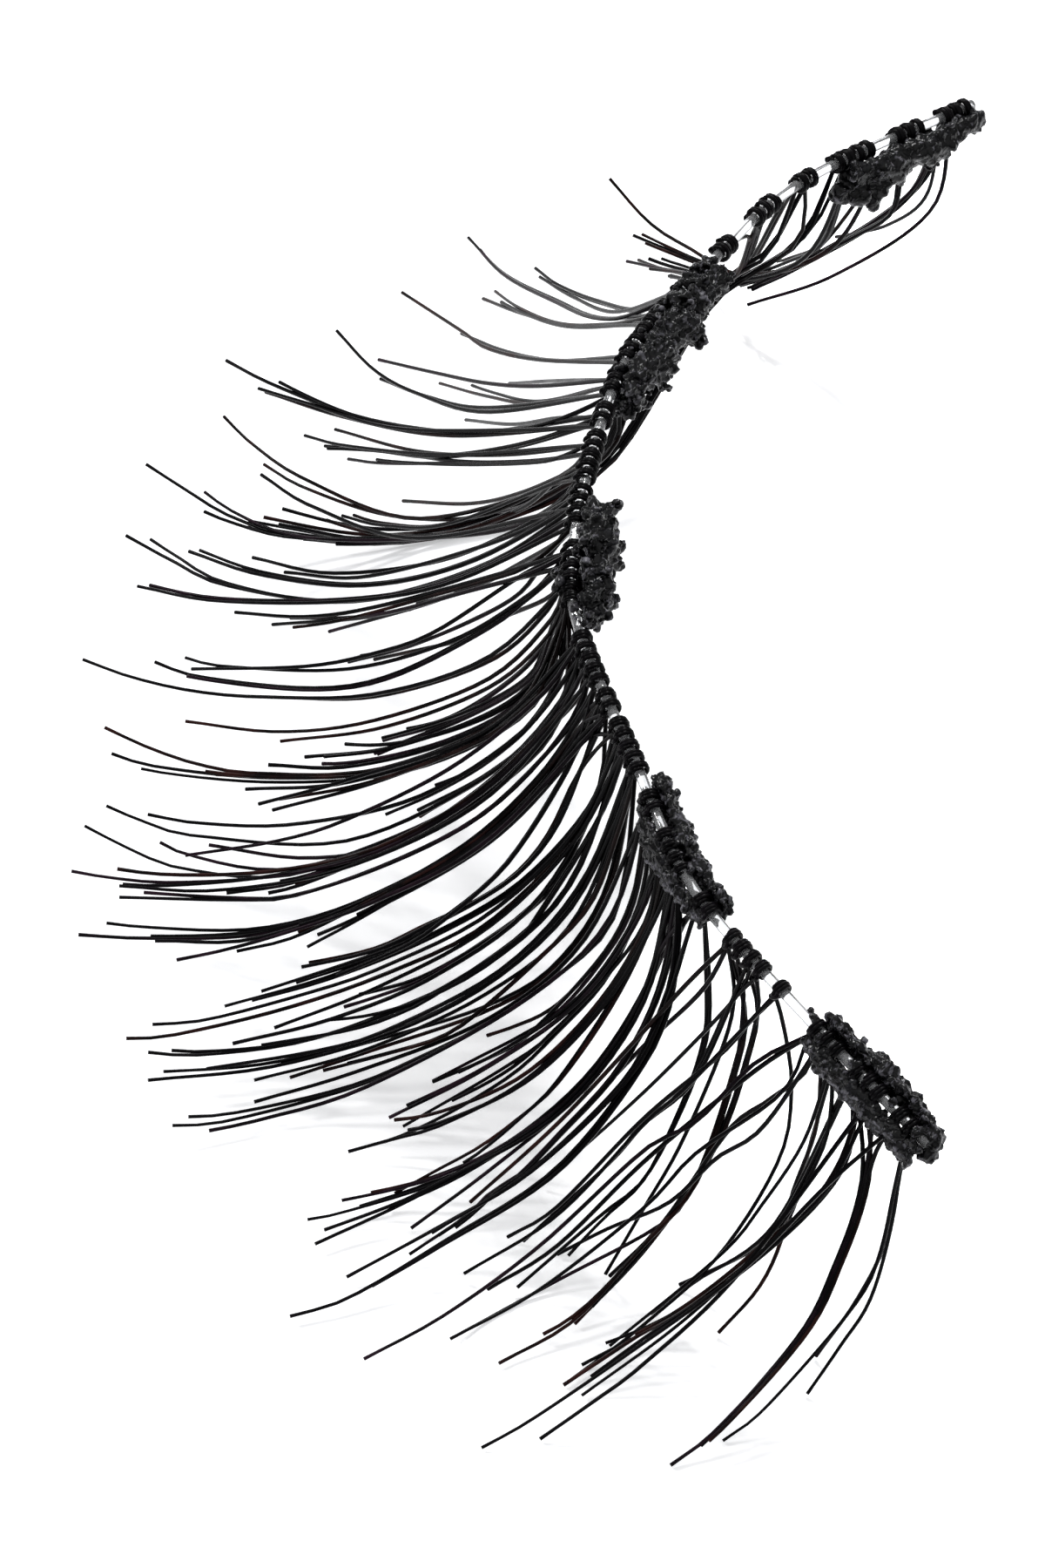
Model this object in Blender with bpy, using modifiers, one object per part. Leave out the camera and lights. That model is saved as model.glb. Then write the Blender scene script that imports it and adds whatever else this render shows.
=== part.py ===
"""A false eyelash strip that stands on its hair tips.

Hairs are hitched in groups of rings on a clear nylon band, and dried glue clings to the band's eyelid side.
The band runs along +Y, the hairs sweep out to -X and down, and the eyelid would lie on the +X side.
"""

import math
from collections import namedtuple

import bmesh
import bpy
from mathutils import Matrix, Vector

MM = 0.001

# The band: how far it spans across the eye, how far its ends stand forward of its middle, and how high it stands.
BAND_SPAN = 26.9 * MM
BAND_DEPTH = 7.65 * MM
BAND_HEIGHT = 7.2 * MM
FILAMENT_DIAMETER = 0.20 * MM
FILAMENT_POINTS = 48
FILAMENT_BEVEL_STEPS = 2
FILAMENT_SHARP_ANGLE = math.radians(50)

# The knots: one ring for each hitched hair, side by side, with running clearance round the filament.
KNOT_CLEARANCE = 0.045 * MM
KNOT_WALL = 0.085 * MM
RING_GROOVE = 0.03 * MM
RING_PITCH = 0.27 * MM
KNOT_SIDES = 8

# The locks: hairs that cling together in a tapering bundle.
HAIR_LENGTH = 12.0 * MM
LOCK_ROOT_DIAMETER = 0.10 * MM
LOCK_TIP_DIAMETER = 0.064 * MM
LOCK_SEGMENTS = 6
LOCK_LAYER_RISE = 0.26 * MM
LOCK_LAYER_RUN = 1.0 * MM
LOCK_LENGTH_PATTERN = (1.0, 0.84, 0.96, 0.78, 0.92)
WELD_DISTANCE = 0.001 * MM

# The dried glue: how thick it stands off the knots, and how it thins at its edges and its ends.
CRUST_CLEARANCE = 0.05 * MM
CRUST_THICKNESS = 0.62 * MM
CRUST_SECTION_STEP = 0.42 * MM
CRUST_LEAST_STEPS = 3
CRUST_INNER_POINTS = 5
CRUST_OUTER_POINTS = 6
CRUST_EDGE_SHARE = 0.45
CRUST_EDGE_FULLNESS = 0.5
CRUST_END_MARGIN = 0.06
CRUST_END_FULLNESS = 0.4
CRUST_SHARP_ANGLE = math.radians(40)

# The flat on the crust that was pressed against the lid.
PRESSED_CRUST = 3
LID_FLAT_DISTANCE = 0.80 * MM
PRESS_DEPTH = 4 * CRUST_THICKNESS
PRESS_HEIGHT = 2 * PRESS_DEPTH

# Waves in a crust's thickness: height is a share of it, along and around are radians over its length and arc.
Wave = namedtuple("Wave", "height along around")
CRUST_WAVES = (
    Wave(0.22, 19, 4),
    Wave(0.13, 31, -7),
)

# Stations along the band: across and depth are shares of the span and the depth, height of the height.
Station = namedtuple("Station", "across depth height")
BAND_STATIONS = (
    Station(0.00, 0.80, 0.71),
    Station(0.08, 0.53, 0.84),
    Station(0.17, 0.28, 0.93),
    Station(0.28, 0.14, 0.98),
    Station(0.39, 0.02, 1.00),
    Station(0.46, 0.00, 1.00),
    Station(0.57, 0.05, 0.99),
    Station(0.68, 0.15, 0.965),
    Station(0.78, 0.34, 0.92),
    Station(0.88, 0.57, 0.865),
    Station(1.00, 1.00, 0.735),
)

# Clusters from the near end to the far end. place is a share of the band's length, sweep and fan are degrees
# from the band's normal towards the near end, length is a share of the hair length, and entry and leave are
# the degrees below level at which a lock starts and ends.
Cluster = namedtuple("Cluster", "place rings locks sweep fan length entry leave")
CLUSTERS = (
    Cluster(0.014, 3, 3, -10, 16, 0.53, 78, 38),
    Cluster(0.046, 4, 4, -16, 20, 0.74, 69, 8),
    Cluster(0.082, 4, 4, -22, 20, 0.72, 72, 16),
    Cluster(0.121, 1, 2, -20, 20, 0.78, 68, 10),
    Cluster(0.150, 4, 5, -12, 22, 0.80, 75, 13),
    Cluster(0.198, 4, 5, -4, 12, 0.90, 75, 1),
    Cluster(0.2325, 4, 4, -7, 12, 0.90, 75, 3),
    Cluster(0.267, 4, 4, -8, 8, 0.98, 72, 0),
    Cluster(0.308, 5, 5, -11, 10, 1.00, 69, 2),
    Cluster(0.344, 2, 3, -15, 10, 0.94, 64, 8),
    Cluster(0.378, 5, 5, -18, 14, 0.92, 65, 8),
    Cluster(0.448, 6, 5, -15, 22, 0.86, 62, 12),
    Cluster(0.505, 4, 4, -24, 12, 0.94, 52, 12),
    Cluster(0.548, 5, 5, -34, 10, 0.94, 50, 16),
    Cluster(0.586, 2, 3, -35, 12, 0.90, 46, 20),
    Cluster(0.618, 3, 4, -32, 16, 0.92, 48, 20),
    Cluster(0.648, 3, 3, -26, 16, 0.90, 54, 16),
    Cluster(0.681, 4, 4, -28, 14, 0.86, 48, 22),
    Cluster(0.724, 3, 3, -34, 6, 0.82, 47, 26),
    Cluster(0.765, 2, 2, -34, 6, 0.76, 42, 28),
    Cluster(0.811, 3, 3, -28, 6, 0.71, 60, 28),
    Cluster(0.853, 2, 3, -12, 8, 0.64, 62, 28),
    Cluster(0.895, 4, 4, 6, 8, 0.68, 70, 18),
    Cluster(0.943, 3, 3, 10, 14, 0.70, 68, 14),
    Cluster(0.984, 3, 3, 26, 20, 0.58, 76, 24),
)

# Crusts from the near end to the far end. first and last are shares of the band's length, low and high are the
# degrees round the band from the lid side, up being 90, that the crust covers, and bulk is a share of thickness.
Crust = namedtuple("Crust", "first last low high bulk")
CRUSTS = (
    Crust(0.000, 0.092, -70, 45, 0.50),
    Crust(0.178, 0.282, -75, 45, 0.50),
    Crust(0.408, 0.502, -60, 60, 1.05),
    Crust(0.602, 0.738, -75, 50, 0.90),
    Crust(0.884, 1.000, -85, 12, 1.00),
)


def collection_named(name):
    """A new collection in the scene."""
    made = bpy.data.collections.new(name)
    bpy.context.scene.collection.children.link(made)
    return made


def material_named(name, colour, roughness, transmission=0.0):
    """A plain Principled material."""
    made = bpy.data.materials.new(name)
    made.use_nodes = True
    shader = made.node_tree.nodes["Principled BSDF"]
    shader.inputs["Base Color"].default_value = (*colour, 1.0)
    shader.inputs["Roughness"].default_value = roughness
    shader.inputs["Metallic"].default_value = 0.0
    shader.inputs["Transmission Weight"].default_value = transmission
    return made


def band_stations():
    """The band's stations as points."""
    return [
        Vector((BAND_DEPTH * s.depth, BAND_SPAN * (s.across - 0.5), BAND_HEIGHT * s.height))
        for s in BAND_STATIONS
    ]


def smooth_path(points, steps):
    """A Catmull-Rom curve through the points, with this many steps in each stretch."""
    ends = [points[0] * 2 - points[1], *points, points[-1] * 2 - points[-2]]
    path = []
    for before, start, stop, after in zip(ends, ends[1:], ends[2:], ends[3:]):
        for i in range(steps):
            t = i / steps
            path.append(
                0.5
                * (
                    2 * start
                    + (stop - before) * t
                    + (2 * before - 5 * start + 4 * stop - after) * t**2
                    + (3 * start - before - 3 * stop + after) * t**3
                )
            )
    return [*path, points[-1].copy()]


class Band:
    """The band's centre line, read by its share of length."""

    STEPS = 24

    def __init__(self):
        self.path = smooth_path(band_stations(), self.STEPS)
        self.reach = [0.0]
        for a, b in zip(self.path, self.path[1:]):
            self.reach.append(self.reach[-1] + (b - a).length)
        self.length = self.reach[-1]

    def point(self, share):
        """The point at a share of the band's length."""
        wanted = min(max(share, 0.0), 1.0) * self.length
        i = next((k for k, r in enumerate(self.reach[1:]) if r >= wanted), len(self.path) - 2)
        part = (wanted - self.reach[i]) / (self.reach[i + 1] - self.reach[i])
        return self.path[i].lerp(self.path[i + 1], part)

    def axes(self, share, reach=RING_PITCH):
        """The band's run over this reach each way, the level way to the lid, and the way up square to both."""
        step = reach / self.length
        run = (self.point(share + step) - self.point(share - step)).normalized()
        lid = run.cross(Vector((0, 0, 1))).normalized()
        return run, lid, lid.cross(run)


def mesh_object(name, mesh, home, material):
    """A named object of a mesh, with its material, in a collection."""
    made = bpy.data.objects.new(name, mesh)
    if material:
        mesh.materials.append(material)
    home.objects.link(made)
    return made


def tube_curve(name, points, diameters, resolution):
    """A poly curve with a round bevel that follows the points, with closed ends."""
    curve = bpy.data.curves.new(name, "CURVE")
    curve.dimensions = "3D"
    curve.bevel_depth = 0.5 * diameters[0]
    curve.bevel_resolution = resolution
    curve.use_fill_caps = True
    spline = curve.splines.new("POLY")
    spline.points.add(len(points) - 1)
    for spot, place, diameter in zip(spline.points, points, diameters):
        spot.co = (*place, 1.0)
        spot.radius = diameter / diameters[0]
    return bpy.data.objects.new(name, curve)


def welded_mesh(source):
    """The evaluated mesh of a curve object, with its caps welded. The curve is removed."""
    bpy.context.scene.collection.objects.link(source)
    graph = bpy.context.evaluated_depsgraph_get()
    mesh = bpy.data.meshes.new_from_object(source.evaluated_get(graph))
    work = bmesh.new()
    work.from_mesh(mesh)
    bmesh.ops.remove_doubles(work, verts=work.verts, dist=WELD_DISTANCE)
    bmesh.ops.recalc_face_normals(work, faces=work.faces)
    work.to_mesh(mesh)
    work.free()
    data = source.data
    bpy.data.objects.remove(source)
    bpy.data.curves.remove(data)
    return mesh


def make_filament(band, home, material):
    """The clear filament, along the whole band."""
    points = [band.point(i / (FILAMENT_POINTS - 1)) for i in range(FILAMENT_POINTS)]
    diameters = [FILAMENT_DIAMETER] * len(points)
    mesh = welded_mesh(tube_curve("band_filament", points, diameters, FILAMENT_BEVEL_STEPS))
    mesh.shade_smooth()
    mesh.set_sharp_from_angle(angle=FILAMENT_SHARP_ANGLE)
    return mesh_object("band_filament", mesh, home, material)


def bore_radius():
    """The radius of the hole that a knot leaves for the filament."""
    return 0.5 * FILAMENT_DIAMETER + KNOT_CLEARANCE


def knot_radius():
    """The radius of a knot over its rings."""
    return bore_radius() + KNOT_WALL


def knot_profile(rings):
    """The closed outline of one side of a knot: a bead for each ring, then back up the bore."""
    half = 0.5 * rings * RING_PITCH
    outline = [(knot_radius() - RING_GROOVE, half)]
    for ring in range(rings):
        top = half - ring * RING_PITCH
        outline.append((knot_radius(), top - 0.5 * RING_PITCH))
        outline.append((knot_radius() - RING_GROOVE, top - RING_PITCH))
    return [*outline, (bore_radius(), -half), (bore_radius(), half)]


def make_knot(name, band, cluster, home, material):
    """The ringed sleeve of one group of hitch knots, turned about the band's run."""
    outline = knot_profile(cluster.rings)
    mesh = bpy.data.meshes.new(name)
    edges = [(i, (i + 1) % len(outline)) for i in range(len(outline))]
    mesh.from_pydata([(r, 0.0, z) for r, z in outline], edges, [])
    knot = mesh_object(name, mesh, home, material)
    turn = knot.modifiers.new("turned", "SCREW")
    turn.axis = "Z"
    turn.steps = KNOT_SIDES
    turn.render_steps = KNOT_SIDES
    turn.use_smooth_shade = True
    half = 0.5 * cluster.rings * RING_PITCH
    run, lid, up = band.axes(cluster.place, half)
    share = half / band.length
    chord = 0.5 * (band.point(cluster.place - share) + band.point(cluster.place + share))
    knot.location = 0.5 * (chord + band.point(cluster.place))
    knot.rotation_euler = Matrix((lid, up, -run)).transposed().to_euler()
    return knot


def lock_path(band, cluster, number, index):
    """The centre line of one lock: an arc in an upright plane, that starts inside its ring."""
    spread = 2.0 * index / (cluster.locks - 1) - 1.0
    run, lid, _ = band.axes(cluster.place)
    bearing = math.radians(cluster.sweep - spread * cluster.fan)
    level = Matrix.Rotation(bearing, 3, "Z") @ -lid
    half = 0.5 * (cluster.rings - 1) * RING_PITCH
    start = band.point(cluster.place) + run * (spread * half)
    entry = math.radians(cluster.entry)
    leave = math.radians(cluster.leave)
    cut = LOCK_LENGTH_PATTERN[(number + index) % len(LOCK_LENGTH_PATTERN)]
    length = HAIR_LENGTH * cluster.length * cut
    step = length / LOCK_SEGMENTS
    down = Vector((0, 0, -1))
    inside = knot_radius() - 0.5 * KNOT_WALL
    outward = level * math.cos(entry) + down * math.sin(entry)
    spot = start + (outward - run * outward.dot(run)).normalized() * inside
    rise = -LOCK_LAYER_RISE * spread
    points = [spot]
    for i in range(LOCK_SEGMENTS):
        share = (i + 0.5) / LOCK_SEGMENTS
        slope = entry + (leave - entry) * share
        spot = spot + (level * math.cos(slope) + down * math.sin(slope)) * step
        lifted = min(1.0, (i + 1) * step / LOCK_LAYER_RUN)
        points.append(spot + Vector((0, 0, rise * lifted)))
    return points


def make_lock(band, cluster, number, index, home):
    """One tapering lock as a closed mesh, ready to be joined to its knot."""
    name = f"lock_{number:02d}_{index + 1}"
    points = lock_path(band, cluster, number, index)
    taper = LOCK_TIP_DIAMETER - LOCK_ROOT_DIAMETER
    diameters = [LOCK_ROOT_DIAMETER + taper * i / LOCK_SEGMENTS for i in range(len(points))]
    mesh = welded_mesh(tube_curve(name, points, diameters, 0))
    mesh.shade_smooth()
    lock = mesh_object(name, mesh, home, None)
    lock.hide_render = True
    lock.display_type = "WIRE"
    return lock


def make_cluster(number, band, cluster, parts, helpers, material):
    """One group of knots with its locks joined to it."""
    name = f"hair_cluster_{number:02d}"
    knot = make_knot(name, band, cluster, parts, material)
    pieces = [knot]
    for index in range(cluster.locks):
        lock = make_lock(band, cluster, number, index, helpers)
        join = knot.modifiers.new(f"lock_{index + 1}", "BOOLEAN")
        join.operation = "UNION"
        join.object = lock
        pieces.append(lock)
    return pieces


def crust_section(band, crust, share):
    """One section of a crust: an arc that hugs the knots, then a lumpy arc back round it."""
    along = (share - crust.first) / (crust.last - crust.first)
    _, lid, up = band.axes(share)
    centre = band.point(share)
    hug = knot_radius() + CRUST_CLEARANCE
    inset = min(max(along, CRUST_END_MARGIN), 1.0 - CRUST_END_MARGIN)
    ends = math.sin(math.pi * inset) ** CRUST_END_FULLNESS
    low = math.radians(crust.low)
    high = math.radians(crust.high)
    section = []
    for i in range(CRUST_INNER_POINTS):
        angle = low + (high - low) * i / (CRUST_INNER_POINTS - 1)
        section.append(centre + (lid * math.cos(angle) + up * math.sin(angle)) * hug)
    for i in range(CRUST_OUTER_POINTS):
        around = 1.0 - i / (CRUST_OUTER_POINTS - 1)
        angle = low + (high - low) * around
        lump = 1.0 + sum(w.height * math.sin(w.along * along + w.around * around) for w in CRUST_WAVES)
        swell = max(0.0, math.sin(math.pi * around)) ** CRUST_EDGE_FULLNESS
        edge = CRUST_EDGE_SHARE + (1.0 - CRUST_EDGE_SHARE) * swell
        thick = CRUST_THICKNESS * crust.bulk * ends * edge * lump
        section.append(centre + (lid * math.cos(angle) + up * math.sin(angle)) * (hug + thick))
    return section


def make_crust(number, band, crust, parts, material):
    """One crust of dried glue, lofted through its sections."""
    steps = max(CRUST_LEAST_STEPS, round((crust.last - crust.first) * band.length / CRUST_SECTION_STEP))
    work = bmesh.new()
    rings = []
    for i in range(steps + 1):
        share = crust.first + (crust.last - crust.first) * i / steps
        rings.append([work.verts.new(p) for p in crust_section(band, crust, share)])
    size = len(rings[0])
    for near, far in zip(rings, rings[1:]):
        for k in range(size):
            m = (k + 1) % size
            work.faces.new((near[k], near[m], far[m], far[k]))
    work.faces.new(rings[0])
    work.faces.new(rings[-1])
    bmesh.ops.recalc_face_normals(work, faces=work.faces)
    mesh = bpy.data.meshes.new(f"glue_crust_{number}")
    work.to_mesh(mesh)
    work.free()
    mesh.shade_smooth()
    mesh.set_sharp_from_angle(angle=CRUST_SHARP_ANGLE)
    return mesh_object(f"glue_crust_{number}", mesh, parts, material)


def press_flat(crust, band, place, helpers):
    """Cuts a crust flat on its lid side, square to the level way to the lid."""
    _, lid, _ = band.axes(place)
    bpy.ops.mesh.primitive_cube_add(size=1)
    cutter = bpy.context.active_object
    cutter.name = "lid_press"
    for home in list(cutter.users_collection):
        home.objects.unlink(cutter)
    helpers.objects.link(cutter)
    cutter.data.transform(Matrix.Diagonal((PRESS_DEPTH, band.length, PRESS_HEIGHT, 1.0)))
    cutter.rotation_euler = (0.0, 0.0, math.atan2(lid.y, lid.x))
    cutter.location = band.point(place) + lid * (LID_FLAT_DISTANCE + 0.5 * PRESS_DEPTH)
    cutter.hide_render = True
    cutter.display_type = "WIRE"
    cut = crust.modifiers.new("pressed_flat", "BOOLEAN")
    cut.operation = "DIFFERENCE"
    cut.object = cutter
    return cutter


def lowest_and_highest(objects):
    """The corners of the box round the evaluated objects."""
    bpy.context.view_layer.update()
    graph = bpy.context.evaluated_depsgraph_get()
    corners = [[], [], []]
    for piece in objects:
        evaluated = piece.evaluated_get(graph)
        mesh = evaluated.to_mesh()
        for vertex in mesh.vertices:
            for axis, value in enumerate(evaluated.matrix_world @ vertex.co):
                corners[axis].append(value)
        evaluated.to_mesh_clear()
    return [min(c) for c in corners], [max(c) for c in corners]


def main():
    """Clears the scene and builds the strip, with its origin under its middle on the surface."""
    for old in list(bpy.data.objects):
        bpy.data.objects.remove(old)
    parts = collection_named("false_eyelash_strip")
    helpers = collection_named("cutters_and_locks")
    nylon = material_named("clear_nylon", (0.93, 0.94, 0.95), 0.12, 0.6)
    hair = material_named("black_hair", (0.012, 0.009, 0.010), 0.42)
    glue = material_named("dried_glue", (0.015, 0.015, 0.016), 0.55)

    band = Band()
    pieces = [make_filament(band, parts, nylon)]
    for number, cluster in enumerate(CLUSTERS, 1):
        pieces += make_cluster(number, band, cluster, parts, helpers, hair)
    for number, crust in enumerate(CRUSTS, 1):
        made = make_crust(number, band, crust, parts, glue)
        pieces.append(made)
        if number == PRESSED_CRUST:
            middle = 0.5 * (crust.first + crust.last)
            pieces.append(press_flat(made, band, middle, helpers))

    origin = bpy.data.objects.new("strip_origin", None)
    parts.objects.link(origin)
    for piece in pieces:
        piece.parent = origin
    low, high = lowest_and_highest([p for p in pieces if not p.hide_render])
    origin.location = (-0.5 * (low[0] + high[0]), -0.5 * (low[1] + high[1]), -low[2])


main()
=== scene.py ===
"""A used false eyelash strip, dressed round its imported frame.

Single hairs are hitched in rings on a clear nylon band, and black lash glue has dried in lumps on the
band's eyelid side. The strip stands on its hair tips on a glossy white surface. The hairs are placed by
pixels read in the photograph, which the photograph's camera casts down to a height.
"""

import logging
import math
import random
from collections.abc import Iterable, Sequence
from dataclasses import dataclass, field
from enum import Enum

import bpy
from mathutils import Matrix, Vector

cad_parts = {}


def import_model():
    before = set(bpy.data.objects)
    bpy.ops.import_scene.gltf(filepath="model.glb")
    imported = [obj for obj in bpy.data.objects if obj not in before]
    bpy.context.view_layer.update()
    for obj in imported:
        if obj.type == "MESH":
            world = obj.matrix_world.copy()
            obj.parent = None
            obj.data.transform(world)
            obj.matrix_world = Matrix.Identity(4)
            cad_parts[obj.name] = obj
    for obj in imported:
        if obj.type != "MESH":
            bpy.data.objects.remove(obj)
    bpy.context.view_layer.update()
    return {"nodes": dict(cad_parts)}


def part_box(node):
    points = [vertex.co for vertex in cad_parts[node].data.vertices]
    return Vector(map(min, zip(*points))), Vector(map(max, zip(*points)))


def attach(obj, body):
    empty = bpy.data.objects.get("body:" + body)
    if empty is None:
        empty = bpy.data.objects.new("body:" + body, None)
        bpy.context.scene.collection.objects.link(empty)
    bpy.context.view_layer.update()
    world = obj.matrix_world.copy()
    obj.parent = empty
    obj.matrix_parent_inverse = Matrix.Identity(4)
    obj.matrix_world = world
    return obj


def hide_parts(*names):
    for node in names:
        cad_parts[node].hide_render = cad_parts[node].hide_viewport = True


MM = 0.001
SEED = 11
ROOT = "root"
ALONG = "along"
UP = Vector((0.0, 0.0, 1.0))
PIECE_SEEDS = 1000
CRUST_SEEDS = 100

# Where the camera aims, counted from the low X, the low Y and the high Z of the filament's box.
CAMERA_AIM = (-0.789 * MM, 9.448 * MM, -2.752 * MM)

# How a hair is read: the steps between its pixels, its points, the slopes in degrees that are tried at its
# root and its tip, what leaving its upright plane costs, how near the sheet it may come, and the least
# length that is divided by.
WAY_STEPS = 10
HAIR_POINTS = 26
ENTRY_ANGLES = (50, 58, 66, 74, 82, 88)
LEAVE_ANGLES = (-32, -24, -16, -8, 0, 10, 20, 30, 40)
PLANE_WEIGHT = 25.0
FLOOR_GAP = 0.034 * MM
SHORTEST_STEP = 1e-12

Pixel = tuple[int, int]
Colour = tuple[float, float, float]
Range = tuple[float, float]
Steps = tuple[tuple[float, float], ...]

log = logging.getLogger("eyelash")


def deselect() -> None:
    """Leaves nothing selected and no active object."""
    bpy.ops.object.select_all(action="DESELECT")
    bpy.context.view_layer.objects.active = None


def select_only(piece: bpy.types.Object) -> None:
    """Selects one object and makes it active.

    Args:
        piece: The object to work on.
    """
    deselect()
    piece.select_set(True)
    bpy.context.view_layer.objects.active = piece


def mix(low: float, high: float, share: float) -> float:
    """The value at a share of the way from low to high."""
    return low + (high - low) * share


def clamp(value: float, low: float = 0.0, high: float = 1.0) -> float:
    """The value kept between low and high."""
    return max(low, min(high, value))


def rgba(colour: Colour) -> tuple[float, float, float, float]:
    """A colour with full alpha."""
    return (*colour, 1.0)


def ramp(steps: Steps, at: float) -> float:
    """A value read from a short table of (place, value) steps.

    Args:
        steps: The steps, in order of place.
        at: The place to read.

    Returns:
        The value there, on straight lines between the steps.
    """
    for (near, low), (far, high) in zip(steps, steps[1:]):
        if at <= far:
            return mix(low, high, clamp((at - near) / (far - near)))
    return steps[-1][1]


@dataclass(frozen=True)
class PhotoCamera:
    """The photograph's camera, and the ray behind each pixel of its frame."""

    aim: Vector
    width: int = 1200
    height: int = 1800
    elevation: float = math.radians(45.0)
    distance: float = 200.0 * MM
    scale: float = 64.0 / MM
    sensor: float = 36.0
    clip_range: Range = (0.05, 50.0)

    @property
    def across(self) -> Vector:
        """The direction to the right of the frame."""
        return Vector((1.0, 0.0, 0.0))

    @property
    def upward(self) -> Vector:
        """The direction to the top of the frame."""
        return Vector((0.0, math.sin(self.elevation), math.cos(self.elevation)))

    @property
    def gaze(self) -> Vector:
        """The direction that the camera looks in."""
        return Vector((0.0, math.cos(self.elevation), -math.sin(self.elevation)))

    @property
    def eye(self) -> Vector:
        """Where the camera stands."""
        return self.aim - self.gaze * self.distance

    def cast(self, pixel: Sequence[float], height: float) -> Vector:
        """Casts a pixel down to a height above the surface.

        Args:
            pixel: The pixel, in the photograph's frame.
            height: The height in metres.

        Returns:
            The point at that height which the pixel shows.
        """
        reach = self.scale * self.distance
        ray = self.gaze * reach + self.across * (pixel[0] - 0.5 * self.width)
        ray += self.upward * (0.5 * self.height - pixel[1])
        return self.eye + ray * ((height - self.eye.z) / ray.z)

    def see(self, point: Vector) -> Vector:
        """The pixel at which a point shows.

        Args:
            point: The point.

        Returns:
            The pixel, as a flat vector.
        """
        away = point - self.eye
        reach = self.scale * self.distance / away.dot(self.gaze)
        u = 0.5 * self.width + reach * away.dot(self.across)
        v = 0.5 * self.height - reach * away.dot(self.upward)
        return Vector((u, v))

    def stand(self) -> bpy.types.Object:
        """Puts the camera in the scene.

        Returns:
            The camera object, which is also made the scene's camera.
        """
        data = bpy.data.cameras.new("photo_camera")
        data.sensor_width = self.sensor
        data.lens = self.sensor * self.scale * self.distance / self.height
        data.clip_start = self.clip_range[0] * self.distance
        data.clip_end = self.clip_range[1] * self.distance
        stand = bpy.data.objects.new("photo_camera", data)
        bpy.context.scene.collection.objects.link(stand)
        stand.location = self.eye
        stand.rotation_euler = (0.5 * math.pi - self.elevation, 0.0, 0.0)
        bpy.context.scene.camera = stand
        return stand


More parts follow.
